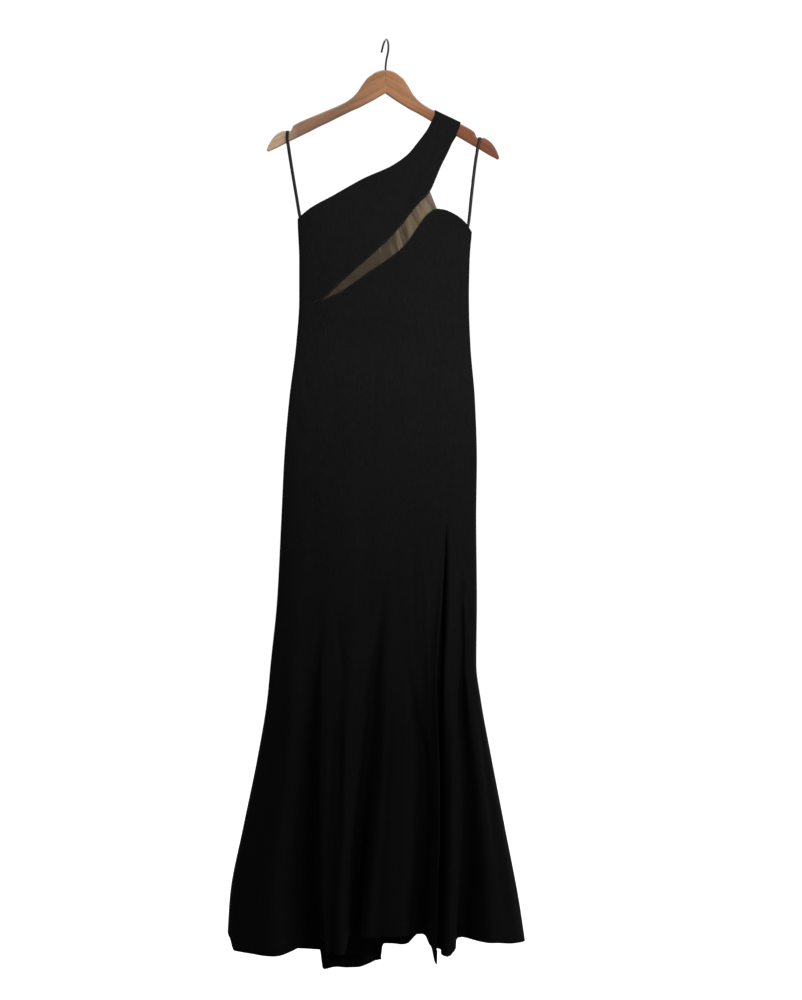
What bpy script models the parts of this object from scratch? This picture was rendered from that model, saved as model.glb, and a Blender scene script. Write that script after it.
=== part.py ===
"""One-shoulder black evening gown with a mesh insert and a front slit, on a wooden hanger.

Metres, +Z up, the front faces -Y. The origin is the inside top of the hanger's hook.
Every cloth piece is a wall between an outer grid of points and the same grid moved inwards.
"""

import math
from collections import namedtuple

import bpy
from mathutils import Vector

MM = 0.001
CLOTH = 1.6 * MM
MESH_CLOTH = 1.0 * MM
RIBBON = 1.0 * MM
SEAM = 0.3 * MM

# Wooden hanger, in millimetres. It hangs tilted, with its right arm a little lower.
WOOD_HALF_THICKNESS = 6.0
WOOD_CENTRE_DROP = 75.2
WOOD_TILT = math.radians(2.0)
ARM_SLOPE = math.radians(29.0)
JOINT_GAP = 0.15
NOTCH_REACH = 178.6
STEM_HOLE_RADIUS = 2.3
STEM_DEPTH = 24.0

# Wire hook, in millimetres. Its plane is turned well away from the front.
WIRE_RADIUS = 2.0
CROOK_RADIUS = 18.0
HOOK_TURN = math.radians(-72.0)
CROOK_TIP = 174.0
TIP_FLARE = 7.0
TIP_FLARE_START = 110.0
CROOK_END = -50.0

# Height of the named levels of the gown, in millimetres below the hook's rest.
SHARE_HEIGHTS = (-330.0, -487.0, -571.0, -895.0, -1239.0, -1483.0, -1690.0)
SHOULDER_SEAM_DROP = 7.0
WAIST = -571.0
SLIT_TOP = -895.0
KNEE = -1239.0
HEM = -1690.0
ROWS_ABOVE_WAIST = 6
ROWS_TO_SLIT = 6
ROWS_BELOW_SLIT = 20

# Widths and half depths of the body, in millimetres, a row for each section.
Section = namedtuple("Section", "name height left right front back")
SECTIONS = (
    Section("hanger", -120.0, -165.4, 163.6, 8.0, 8.0),
    Section("strap", -182.0, -165.4, 163.6, 8.2, 8.2),
    Section("upper chest", -240.0, -165.4, 163.6, 12.5, 11.0),
    Section("neckline end", -334.6, -165.4, 163.6, 22.0, 17.0),
    Section("bust", -412.0, -162.6, 158.4, 27.0, 18.5),
    Section("under bust", -487.0, -162.6, 157.0, 25.0, 19.0),
    Section("waist", -571.0, -168.3, 159.8, 22.0, 20.0),
    Section("high hip", -675.0, -181.4, 168.3, 31.0, 33.0),
    Section("hip", -788.0, -190.8, 172.0, 40.0, 47.0),
    Section("slit top", -895.0, -195.9, 170.7, 45.0, 52.0),
    Section("thigh", -1051.0, -204.0, 172.0, 47.0, 54.0),
    Section("side kink", -1171.0, -216.2, 170.9, 50.0, 57.0),
    Section("knee", -1239.0, -222.8, 179.5, 52.0, 60.0),
    Section("below knee", -1352.0, -241.6, 200.2, 57.0, 70.0),
    Section("calf", -1483.0, -267.9, 225.6, 63.0, 84.0),
    Section("low calf", -1615.0, -292.3, 251.0, 68.0, 98.0),
    Section("hem", -1690.0, -297.0, 262.3, 70.0, 105.0),
)

# Lines that run down the gown. The shares are the distance from the left edge over the
# width at the seven share heights, push is how far the hem stands out of the plain
# section, drop is the hem's height and steps is the number of columns to the next line.
Line = namedtuple("Line", "name top bust waist hip knee calf hem push drop start steps")
FRONT_LINES = (
    Line("left seam", 0.0, 0.0, 0.0, 0.0, 0.0, 0.0, 0.0, 0.0, -1674.0, -1100.0, 1),
    Line("left turn", 0.006, 0.006, 0.006, 0.006, 0.006, 0.006, 0.008, 4.0, -1680.0, -1100.0, 1),
    Line("left side", 0.03, 0.03, 0.03, 0.03, 0.03, 0.03, 0.026, 10.0, -1701.0, -1100.0, 3),
    Line("left fold", 0.075, 0.075, 0.10, 0.095, 0.12, 0.14, 0.165, 42.0, -1695.0, -1100.0, 4),
    Line("left princess", 0.122, 0.122, 0.19, 0.17, 0.225, 0.267, 0.31, -45.0, -1687.0, -1080.0, 2),
    Line("second fold", 0.20, 0.19, 0.24, 0.225, 0.262, 0.30, 0.338, 22.0, -1692.0, -1080.0, 1),
    Line("second crease", 0.26, 0.26, 0.28, 0.273, 0.32, 0.345, 0.358, 10.0, -1692.0, -1040.0, 1),
    Line("third fold", 0.32, 0.34, 0.34, 0.36, 0.385, 0.385, 0.385, 34.0, -1690.0, -1040.0, 3),
    Line("middle valley", 0.48, 0.50, 0.50, 0.52, 0.49, 0.452, 0.424, -45.0, -1668.0, -1000.0, 3),
    Line("middle fold", 0.56, 0.58, 0.58, 0.59, 0.56, 0.52, 0.48, 25.0, -1660.0, -1000.0, 2),
    Line("right of middle", 0.64, 0.67, 0.67, 0.67, 0.64, 0.61, 0.59, 30.0, -1656.0, -1100.0, 3),
    Line("right valley", 0.71, 0.77, 0.77, 0.76, 0.71, 0.695, 0.655, -26.0, -1668.0, -1150.0, 2),
    Line("slit turn", 0.75, 0.83, 0.84, 0.81, 0.76, 0.722, 0.682, 12.0, -1680.0, -1000.0, 1),
    Line("slit edge", 0.79, 0.885, 0.90, 0.846, 0.793, 0.742, 0.698, 46.0, -1703.0, -900.0, 0),
)
SIDE_LINES = (
    Line("slit under edge", 0.79, 0.885, 0.90, 0.846, 0.786, 0.732, 0.690, -16.0, -1694.0, -900.0, 2),
    Line("narrow fold", 0.86, 0.92, 0.93, 0.885, 0.85, 0.795, 0.737, 35.0, -1694.0, -930.0, 1),
    Line("narrow flank", 0.88, 0.93, 0.94, 0.91, 0.88, 0.825, 0.765, 12.0, -1690.0, -930.0, 1),
    Line("narrow valley", 0.90, 0.94, 0.948, 0.93, 0.905, 0.85, 0.785, -26.0, -1678.0, -930.0, 4),
    Line("right fold", 0.95, 0.965, 0.967, 0.96, 0.95, 0.925, 0.89, 30.0, -1676.0, -1100.0, 2),
    Line("right side", 0.975, 0.983, 0.984, 0.98, 0.978, 0.972, 0.965, 10.0, -1686.0, -1100.0, 1),
    Line("right turn", 0.994, 0.994, 0.994, 0.994, 0.994, 0.994, 0.994, 3.0, -1689.0, -1100.0, 1),
    Line("right seam", 1.0, 1.0, 1.0, 1.0, 1.0, 1.0, 1.0, 0.0, -1690.0, -1100.0, 0),
)
BACK_LINES = (
    Line("left seam", 0.0, 0.0, 0.0, 0.0, 0.0, 0.0, 0.0, 0.0, -1674.0, -1100.0, 1),
    Line("left turn", 0.006, 0.006, 0.006, 0.006, 0.006, 0.006, 0.006, 3.0, -1676.0, -1100.0, 1),
    Line("left side", 0.03, 0.03, 0.03, 0.03, 0.03, 0.03, 0.03, 8.0, -1690.0, -1100.0, 2),
    Line("first fold", 0.12, 0.12, 0.12, 0.12, 0.12, 0.12, 0.12, 32.0, -1712.0, -1060.0, 3),
    Line("first valley", 0.22, 0.22, 0.22, 0.22, 0.22, 0.22, 0.22, -30.0, -1722.0, -1120.0, 2),
    Line("train turn", 0.28, 0.28, 0.28, 0.28, 0.28, 0.285, 0.298, -8.0, -1731.0, -1100.0, 1),
    Line("train start", 0.30, 0.30, 0.30, 0.30, 0.30, 0.30, 0.311, 28.0, -1782.0, -1000.0, 1),
    Line("second fold", 0.34, 0.34, 0.34, 0.34, 0.34, 0.34, 0.345, 36.0, -1782.0, -1000.0, 3),
    Line("second valley", 0.42, 0.42, 0.42, 0.42, 0.42, 0.42, 0.43, -28.0, -1763.0, -1150.0, 2),
    Line("centre back", 0.50, 0.50, 0.50, 0.50, 0.50, 0.505, 0.512, 24.0, -1762.0, -1040.0, 1),
    Line("train end", 0.52, 0.52, 0.52, 0.52, 0.52, 0.52, 0.524, 12.0, -1728.0, -1040.0, 2),
    Line("third valley", 0.59, 0.59, 0.59, 0.58, 0.58, 0.58, 0.585, -30.0, -1717.0, -1130.0, 3),
    Line("third fold", 0.69, 0.69, 0.69, 0.68, 0.67, 0.67, 0.67, 38.0, -1708.0, -1020.0, 3),
    Line("fourth valley", 0.79, 0.79, 0.79, 0.78, 0.78, 0.78, 0.77, -32.0, -1700.0, -1090.0, 3),
    Line("fourth fold", 0.88, 0.88, 0.88, 0.88, 0.88, 0.88, 0.87, 30.0, -1696.0, -1060.0, 2),
    Line("right side", 0.97, 0.97, 0.97, 0.97, 0.97, 0.97, 0.965, 8.0, -1692.0, -1100.0, 1),
    Line("right turn", 0.994, 0.994, 0.994, 0.994, 0.994, 0.994, 0.994, 3.0, -1690.0, -1100.0, 1),
    Line("right seam", 1.0, 1.0, 1.0, 1.0, 1.0, 1.0, 1.0, 0.0, -1690.0, -1100.0, 0),
)

# Edges seen from the front, in millimetres: x to the wearer's left, z up.
Edge = namedtuple("Edge", "x z")
NECKLINE = (
    Edge(-165.4, -334.6),
    Edge(-141.3, -316.0),
    Edge(-100.0, -294.0),
    Edge(-40.1, -260.4),
    Edge(10.4, -237.6),
    Edge(42.2, -214.7),
    Edge(61.0, -191.8),
    Edge(77.9, -169.2),
    Edge(86.5, -153.5),
    Edge(93.0, -143.0),
)
FRONT_ARMHOLE = (
    Edge(83.4, -285.3),
    Edge(94.6, -260.4),
    Edge(104.0, -237.6),
    Edge(115.3, -214.6),
    Edge(124.7, -191.8),
    Edge(136.0, -176.0),
    Edge(143.8, -165.5),
)
INSERT_UPPER = (
    Edge(-122.9, -488.9),
    Edge(-87.5, -460.2),
    Edge(-42.3, -420.1),
    Edge(7.5, -374.8),
    Edge(30.1, -349.5),
    Edge(59.4, -311.5),
    Edge(83.4, -285.3),
)
FRONT_TOP = (
    Edge(-164.0, -504.5),
    Edge(-122.6, -491.0),
    Edge(-87.6, -476.0),
    Edge(-37.8, -442.5),
    Edge(14.2, -407.0),
    Edge(36.7, -387.0),
    Edge(59.4, -354.5),
    Edge(70.8, -338.0),
    Edge(82.0, -326.0),
    Edge(96.4, -319.0),
    Edge(107.6, -320.0),
    Edge(130.2, -329.0),
    Edge(149.1, -343.0),
    Edge(164.5, -362.8),
)
INSERT_END = 96.4

# The right back panel above the waist, from its lower edge up: the inner end of each row
# lies on the centre back and then the neckline, the outer end on the side seam and armhole.
BackRow = namedtuple("BackRow", "inner_x inner_z outer_x outer_z")
BACK_ROWS = (
    BackRow(None, -520.0, None, -520.0),
    BackRow(None, -470.0, None, -470.0),
    BackRow(None, -420.0, None, -425.0),
    BackRow(None, -372.0, None, -390.0),
    BackRow(None, -335.0, 162.0, -367.0),
    BackRow(None, -305.0, 136.3, -361.0),
    BackRow(None, -278.0, 102.5, -347.8),
    BackRow(None, -256.0, 79.9, -325.2),
    BackRow(None, -241.0, 72.4, -302.7),
    BackRow(19.5, -229.5, 79.9, -280.1),
    BackRow(42.3, -212.4, 94.9, -246.3),
    BackRow(61.1, -189.9, 115.6, -206.0),
    BackRow(78.0, -167.3, 133.0, -178.0),
)

# Ribbon loops that carry the sides, from the side seam up, in millimetres.
RIBBON_WIDTH = 6.0
Strand = namedtuple("Strand", "x y z")
LEFT_STRANDS = (
    Strand(-151.0, 2.9, -358.0),
    Strand(-152.5, 2.4, -340.0),
    Strand(-158.5, 2.4, -325.0),
    Strand(-164.5, 2.8, -308.0),
    Strand(-175.3, 4.6, -258.0),
    Strand(-181.0, 5.8, -224.0),
    Strand(-184.4, 7.3, -186.0),
)
RIGHT_STRANDS = (
    Strand(147.0, 2.9, -390.0),
    Strand(148.5, 2.4, -374.0),
    Strand(157.0, 2.6, -342.0),
    Strand(162.6, 4.6, -290.0),
    Strand(169.5, 5.8, -232.0),
    Strand(174.3, 7.3, -198.0),
)

# Half of the hanger seen from the front, in millimetres from its centre: reach is the
# distance along the arm's side, top and bottom are its upper and lower outline.
Arm = namedtuple("Arm", "reach top bottom")
ARM = (
    Arm(0.0, 20.7, -23.4),
    Arm(6.0, 20.2, -27.3),
    Arm(12.0, 18.8, -31.2),
    Arm(18.8, 16.0, -35.6),
    Arm(26.0, 10.8, -39.8),
    Arm(33.8, 4.8, -44.2),
    Arm(39.5, -3.0, -47.4),
    Arm(45.1, -11.4, -50.8),
    Arm(52.0, -22.8, -54.2),
    Arm(60.2, -32.2, -58.0),
    Arm(71.0, -40.8, -63.6),
    Arm(84.6, -48.4, -71.0),
    Arm(103.0, -57.0, -81.0),
    Arm(122.0, -65.8, -90.8),
    Arm(141.0, -74.4, -101.2),
    Arm(160.0, -83.7, -111.3),
    Arm(170.0, -90.0, -116.6),
    Arm(174.6, -99.4, -119.1),
    Arm(NOTCH_REACH, -101.9, -121.0),
    Arm(182.8, -101.9, -123.4),
    Arm(186.6, -99.9, -125.6),
    Arm(194.0, -102.6, -129.8),
    Arm(203.0, -109.0, -134.4),
    Arm(210.0, -118.0, -137.8),
    Arm(215.5, -128.0, -140.4),
    Arm(218.5, -135.8, -139.2),
)

# Zip slider and pull at the top of the centre back seam, in millimetres.
SLIDER_HEIGHT = -252.0
SLIDER_SIZE = (5.2, 2.2, 9.0)
BAIL_OUTER = 2.9
BAIL_INNER = 1.7
BAIL_WIDTH = 1.6
PULL_BAR_RADIUS = 0.6
PULL_WINDOW = (2.6, 3.6)
PULL_WIDTH = 5.0
PULL_LENGTH = 19.0
PULL_THICKNESS = 1.2
PULL_AXIS_OUT = 1.15

COLOURS = {
    "black crepe": ((0.012, 0.012, 0.013, 1.0), 0.75, 0.0),
    "taupe mesh": ((0.24, 0.18, 0.12, 1.0), 0.8, 0.0),
    "black ribbon": ((0.01, 0.01, 0.01, 1.0), 0.5, 0.0),
    "varnished wood": ((0.42, 0.18, 0.07, 1.0), 0.35, 0.0),
    "steel wire": ((0.35, 0.34, 0.33, 1.0), 0.3, 1.0),
    "black metal": ((0.02, 0.02, 0.02, 1.0), 0.4, 0.8),
}


def read(stations, values, at):
    """The value at a place on the smooth curve through the stations, which doesn't overshoot."""
    if at <= stations[0]:
        return values[0]
    if at >= stations[-1]:
        return values[-1]
    last = len(stations) - 2
    k = max(i for i in range(last + 1) if stations[i] <= at)
    slopes = [
        (values[i + 1] - values[i]) / (stations[i + 1] - stations[i]) for i in range(last + 1)
    ]

    def tangent(i):
        if i == 0:
            return slopes[0]
        if i > last:
            return slopes[last]
        before, after = slopes[i - 1], slopes[i]
        if before * after <= 0:
            return 0.0
        return 2 * before * after / (before + after)

    width = stations[k + 1] - stations[k]
    t = (at - stations[k]) / width
    start = (1 + 2 * t) * (1 - t) ** 2 * values[k] + t * (1 - t) ** 2 * width * tangent(k)
    end = t * t * (3 - 2 * t) * values[k + 1] + t * t * (t - 1) * width * tangent(k + 1)
    return start + end


def ease(t):
    """Smooth rise from 0 to 1."""
    t = min(max(t, 0.0), 1.0)
    return t * t * (3 - 2 * t)


def section_at(z):
    """Left edge, right edge, front and back half depth of the body at a height."""
    downwards = [-row.height for row in SECTIONS]
    return [
        read(downwards, [getattr(row, side) for row in SECTIONS], -z)
        for side in ("left", "right", "front", "back")
    ]


def roundness(share, z):
    """Part of the full depth at a share of the width. A strap above the right armhole stays flat."""
    from_middle = 2 * share - 1
    if from_middle > 0:
        from_middle *= ease((-z - 270.0) / 95.0)
    return math.sqrt(max(0.0, 1 - from_middle**2))


def depth_at(x, z, side):
    """Y of the plain body at a place seen from the front. The side is -1 for front, 1 for back."""
    left, right, front, back = section_at(z)
    share = min(max((x - left) / (right - left), 0.0), 1.0)
    return side * (front if side < 0 else back) * roundness(share, z)


def columns_of(lines):
    """The lines with their in-between columns: shares run straight, folds as soft waves."""
    columns = []
    for line, following in zip(lines, lines[1:]):
        for step in range(line.steps):
            t = step / line.steps
            soft = (1 - math.cos(math.pi * t)) / 2
            straight = [a + (b - a) * t for a, b in zip(line[1:8], following[1:8])]
            waved = [a + (b - a) * soft for a, b in zip(line[8:11], following[8:11])]
            name = line.name if step == 0 else ""
            columns.append(Line(name, *straight, *waved, line.steps))
    return columns + [lines[-1]]


def column_point(column, z, side):
    """Point of a column at a nominal height, in millimetres."""
    left, right, front, back = section_at(z)
    share = read([-height for height in SHARE_HEIGHTS], column[1:8], -z)
    grown = max(0.0, (column.start - z) / (column.start - HEM)) ** 1.35
    lowered = (max(0.0, KNEE - z) / (KNEE - HEM)) ** 2 * (column.drop - HEM)
    depth = (front if side < 0 else back) * roundness(share, z) + grown * column.push
    return Vector((left + share * (right - left), side * depth, z + lowered))


def body_rows():
    """Nominal heights from the waist to the hem, with a row at the slit's top."""
    upper = [WAIST + (SLIT_TOP - WAIST) * i / ROWS_TO_SLIT for i in range(ROWS_TO_SLIT)]
    lower = [SLIT_TOP + (HEM - SLIT_TOP) * i / ROWS_BELOW_SLIT for i in range(ROWS_BELOW_SLIT + 1)]
    return upper + lower


def top_of(column, edge, side):
    """Where a column meets an edge that is seen from the front."""
    z = -420.0
    for _ in range(12):
        z = read([p.x for p in edge], [p.z for p in edge], column_point(column, z, side).x)
    return z


def body_grid(columns, edge, side):
    """Rows of points from an upper edge down to the hem."""
    tops = [top_of(column, edge, side) for column in columns]
    grid = []
    for i in range(ROWS_ABOVE_WAIST):
        t = i / ROWS_ABOVE_WAIST
        grid.append(
            [column_point(c, top + (WAIST - top) * t, side) for c, top in zip(columns, tops)]
        )
    for z in body_rows():
        grid.append([column_point(column, z, side) for column in columns])
    return grid


def normals_of(grid):
    """Unit vectors out of the wall. Rows run down and columns run to the right of one who looks at it."""
    rows, columns = len(grid), len(grid[0])
    found = []
    for r in range(rows):
        line = []
        for c in range(columns):
            down = grid[min(r + 1, rows - 1)][c] - grid[max(r - 1, 0)][c]
            across = grid[r][min(c + 1, columns - 1)] - grid[r][max(c - 1, 0)]
            line.append(down.cross(across).normalized())
        found.append(line)
    return found


def square_to_side(normals, column):
    """At a side seam the wall faces straight to the side, on the front and the back alike."""
    for line in normals:
        flat = Vector((line[column].x, 0.0, line[column].z))
        line[column] = flat.normalized()


def moved_in(grid, normals, thickness):
    return [
        [point - normal * thickness for point, normal in zip(line, directions)]
        for line, directions in zip(grid, normals)
    ]


def pull_edge(grid, towards, distance):
    """Moves one edge of a grid inwards along the grid, to leave half a seam's gap."""
    if towards == "right":
        for line in grid:
            line[0] = line[0] + (line[1] - line[0]).normalized() * distance
    if towards == "left":
        for line in grid:
            line[-1] = line[-1] + (line[-2] - line[-1]).normalized() * distance
    if towards == "down":
        grid[0] = [a + (b - a).normalized() * distance for a, b in zip(grid[0], grid[1])]
    if towards == "up":
        grid[-1] = [a + (b - a).normalized() * distance for a, b in zip(grid[-1], grid[-2])]


def material(name):
    found = bpy.data.materials.get(name)
    if found:
        return found
    made = bpy.data.materials.new(name)
    made.use_nodes = True
    colour, roughness, metallic = COLOURS[name]
    shader = made.node_tree.nodes["Principled BSDF"]
    shader.inputs["Base Color"].default_value = colour
    shader.inputs["Roughness"].default_value = roughness
    shader.inputs["Metallic"].default_value = metallic
    made.diffuse_color = colour
    return made


def add_object(name, points, faces, material_name, smooth=True):
    """Object from points in millimetres."""
    mesh = bpy.data.meshes.new(name)
    mesh.from_pydata([Vector(p) * MM for p in points], [], faces)
    mesh.update()
    if smooth:
        mesh.shade_smooth()
        mesh.set_sharp_from_angle(angle=math.radians(50))
    mesh.materials.append(material(material_name))
    obj = bpy.data.objects.new(name, mesh)
    bpy.context.scene.collection.objects.link(obj)
    return obj


def wall(name, outer, inner, material_name):
    """Closed wall between an outer and an inner grid, with rims on all four edges."""
    rows, columns = len(outer), len(outer[0])
    points = [p for line in outer for p in line] + [p for line in inner for p in line]
    count = rows * columns

    def quad(a, b, c, d):
        return [(a, b, c), (a, c, d)]

    faces = []
    for r in range(rows - 1):
        for c in range(columns - 1):
            a, b = r * columns + c, (r + 1) * columns + c
            faces += quad(a, b, b + 1, a + 1)
            faces += [tuple(i + count for i in reversed(f)) for f in quad(a, b, b + 1, a + 1)]
    rim = [c for c in range(columns)]
    rim += [r * columns + columns - 1 for r in range(1, rows)]
    rim += [(rows - 1) * columns + c for c in range(columns - 2, -1, -1)]
    rim += [r * columns for r in range(rows - 2, 0, -1)]
    for a, b in zip(rim, rim[1:] + rim[:1]):
        faces += quad(a, b, b + count, a + count)
    add_object(name, points, faces, material_name)


def cloth_wall(name, grid, normals, pulls, thickness=CLOTH, material_name="black crepe"):
    """Wall of a piece, whose sewn edges are pulled back from the seams."""
    inner = moved_in(grid, normals, thickness / MM)
    outer = [list(line) for line in grid]
    for towards, distance in pulls.items():
        pull_edge(outer, towards, distance)
        pull_edge(inner, towards, distance)
    wall(name, outer, inner, material_name)


def part_of(grid, first, last):
    return [line[first : last + 1] for line in grid]


def index_of(columns, name):
    return next(i for i, column in enumerate(columns) if column.name == name)


def along(edge, share):
    """Point at a share of an edge's length."""
    places = [0.0]
    for a, b in zip(edge, edge[1:]):
        places.append(places[-1] + math.hypot(b.x - a.x, b.z - a.z))
    at = share * places[-1]
    return Edge(read(places, [p.x for p in edge], at), read(places, [p.z for p in edge], at))


def wood_point(reach, height, side):
    """Place on the tilted hanger. The side is 1 for the right arm and -1 for the left one."""
    x, z = side * reach, height
    turned_x = x * math.cos(WOOD_TILT) + z * math.sin(WOOD_TILT)
    turned_z = -x * math.sin(WOOD_TILT) + z * math.cos(WOOD_TILT)
    return Edge(turned_x, turned_z - WOOD_CENTRE_DROP)


def wood_top(x, side):
    """Height of the hanger's upper edge at an x."""
    line = [wood_point(arm.reach, arm.top, side) for arm in ARM]
    line.sort()
    k = next((i for i in range(len(line) - 2) if line[i + 1].x >= x), len(line) - 2)
    t = (x - line[k].x) / (line[k + 1].x - line[k].x)
    return line[k].z + (line[k + 1].z - line[k].z) * t


def over_the_wood(x, side, angles, thickness):
    """Points of a cloth face that lies over the rounded top of the wood, 0.3 mm clear of it."""
    clear = SEAM / MM + thickness / MM
    radius = WOOD_HALF_THICKNESS + clear
    height = WOOD_HALF_THICKNESS + clear / math.cos(ARM_SLOPE)
    middle = wood_top(x, side) - WOOD_HALF_THICKNESS
    found = []
    for angle in angles:
        y = -radius * math.cos(math.radians(angle))
        z = middle + height * math.sin(math.radians(angle))
        found.append(Vector((x, y, z)))
    return found


def front_body():
    """Left side panel, centre panel and, right of the slit, the right side panel."""
    columns = columns_of(FRONT_LINES)
    grid = body_grid(columns, FRONT_TOP, -1)
    side_columns = columns_of(SIDE_LINES)
    side_grid = body_grid(side_columns, FRONT_TOP, -1)
    normals = normals_of(grid)
    side_normals = normals_of(side_grid)
    square_to_side(normals, 0)
    square_to_side(side_normals, -1)
    sewn_rows = ROWS_ABOVE_WAIST + ROWS_TO_SLIT
    for r in range(sewn_rows + 1):
        shared = (normals[r][-1] + side_normals[r][0]).normalized()
        normals[r][-1] = shared
        side_normals[r][0] = shared
    seam = index_of(columns, "left princess")
    gap = SEAM / MM / 2
    cloth_wall(
        "front_side_panel_left",
        part_of(grid, 0, seam),
        part_of(normals, 0, seam),
        {"right": gap, "left": gap, "down": gap},
    )
    cloth_wall(
        "front_centre_panel",
        part_of(grid, seam, len(columns) - 1),
        part_of(normals, seam, len(columns) - 1),
        {"right": gap, "left": gap, "down": 1.6 * gap},
    )
    cloth_wall(
        "front_side_panel_right",
        side_grid,
        side_normals,
        {"right": gap, "left": gap},
    )
    insert_columns = [c for c in range(seam, len(columns)) if grid[0][c].x < INSERT_END + 0.5]
    return [grid[0][c] for c in insert_columns]


def insert_edges(lower):
    """Points on the insert's upper edge, one for each point of the centre panel on its lower edge."""
    first, last = lower[0].x, lower[-1].x
    upper = []
    for point in lower:
        t = (point.x - first) / (last - first)
        x = INSERT_UPPER[0].x + (INSERT_UPPER[-1].x - INSERT_UPPER[0].x) * t
        z = read([p.x for p in INSERT_UPPER], [p.z for p in INSERT_UPPER], x)
        upper.append(Vector((x, depth_at(x, z, -1), z)))
    return upper


def mesh_insert(upper, lower):
    """Sheer insert between the upper bodice and the centre panel, narrowing to a point."""
    grid = []
    rows = 4
    for i in range(rows + 1):
        line = []
        for a, b in zip(upper, lower):
            x = a.x + (b.x - a.x) * i / rows
            z = a.z + (b.z - a.z) * i / rows
            line.append(Vector((x, depth_at(x, z, -1), z)))
        grid.append(line)
    gap = SEAM / MM / 2
    cloth_wall(
        "mesh_insert",
        grid,
        normals_of(grid),
        {"right": gap, "down": 1.5 * gap, "up": 1.5 * gap},
        MESH_CLOTH,
        "taupe mesh",
    )


def bodice_front(upper):
    """Upper bodice from the left side seam to the strap, which goes over the hanger."""
    side = Edge(-164.0, -502.5)
    lower = [Edge(point.x, point.z) for point in upper] + list(FRONT_ARMHOLE[1:])
    chain = [side] + lower
    places = [0.0]
    for a, b in zip(chain, chain[1:]):
        places.append(places[-1] + math.hypot(b.x - a.x, b.z - a.z))
    length = places[-1]
    near_side = [0.0, 1.4 / length, 6.0 / length, 20.0 / length]
    shares = near_side + [p / length for p in places[1:]]
    across = 7
    strips = []
    for share in sorted(shares):
        top = along(NECKLINE, share)
        nearest = min(range(len(places)), key=lambda i: abs(places[i] / length - share))
        bottom = along(chain, share) if share < places[1] / length else chain[nearest]
        strip = []
        for j in range(across + 1):
            t = j / across
            x = top.x + (bottom.x - top.x) * t
            z = top.z + (bottom.z - top.z) * t
            seam_x = NECKLINE[0].x + (side.x - NECKLINE[0].x) * t
            x += (section_at(z)[0] - seam_x) * max(0.0, 1 - share * length / places[1])
            strip.append(Vector((x, depth_at(x, z, -1), z)))
        strips.append(strip)
    angles = (0.0, 25.0, 50.0, 70.0, 90.0, 110.0, 130.0, 155.0, 180.0)
    over = [over_the_wood(point.x, 1, angles, CLOTH) for point in strips[-1]]
    strips += [[line[i] for line in over] for i in range(len(angles))]
    strips.append([line[-1] + Vector((0.0, 0.0, -SHOULDER_SEAM_DROP)) for line in over])
    grid = [[strip[j] for strip in strips] for j in range(across + 1)]
    normals = normals_of(grid)
    square_to_side(normals, 0)
    gap = SEAM / MM / 2
    cloth_wall("bodice_front", grid, normals, {"right": gap, "left": gap, "up": 1.5 * gap})
    return strips[-1]


def back_body(shoulder):
    """Left and right back panel, sewn down the centre back. The right one has the strap's back."""
    columns = columns_of(BACK_LINES)
    seam = index_of(columns, "centre back")
    grid = body_grid(columns[: seam + 1], NECKLINE, 1)
    grid = [list(reversed(line)) for line in grid]
    normals = normals_of(grid)
    square_to_side(normals, -1)
    gap = SEAM / MM / 2
    right = columns[seam:]
    rows = [[column_point(column, z, 1) for column in right] for z in body_rows()]
    upper = []
    for row in BACK_ROWS:
        inner_x = column_point(right[0], row.inner_z, 1).x if row.inner_x is None else row.inner_x
        outer_x = column_point(right[-1], row.outer_z, 1).x if row.outer_x is None else row.outer_x
        line = []
        for column in right:
            share = read([-height for height in SHARE_HEIGHTS], column[1:8], -row.inner_z)
            first = read([-height for height in SHARE_HEIGHTS], right[0][1:8], -row.inner_z)
            t = (share - first) / (1 - first)
            x = inner_x + (outer_x - inner_x) * t
            z = row.inner_z + (row.outer_z - row.inner_z) * t
            line.append(Vector((x, depth_at(x, z, 1), z)))
        upper.append(line)
    top = []
    for column in right:
        t = (column.bust - right[0].bust) / (1 - right[0].bust)
        x = shoulder[0].x + (shoulder[-1].x - shoulder[0].x) * t
        radius = WOOD_HALF_THICKNESS + SEAM / MM + CLOTH / MM
        z = wood_top(x, 1) - WOOD_HALF_THICKNESS - SHOULDER_SEAM_DROP
        top.append(Vector((x, radius, z)))
    right_grid = [list(reversed(line)) for line in [top] + upper[::-1] + rows]
    right_normals = normals_of(right_grid)
    square_to_side_below(right_grid, right_normals)
    side_by_side = len(body_rows())
    for r in range(1, side_by_side + 1):
        shared = (normals[-r][0] + right_normals[-r][-1]).normalized()
        normals[-r][0] = shared
        right_normals[-r][-1] = shared
    cloth_wall("back_panel_left", grid, normals, {"right": gap, "left": gap})
    cloth_wall("back_panel_right", right_grid, right_normals, {"right": gap, "left": gap, "down": gap})


def square_to_side_below(grid, normals):
    """Squares the wall to the side along the side seam only, which ends at the armhole."""
    for line, directions in zip(grid, normals):
        if abs(line[0].y) < 0.01:
            directions[0] = Vector((directions[0].x, 0.0, directions[0].z)).normalized()


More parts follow.
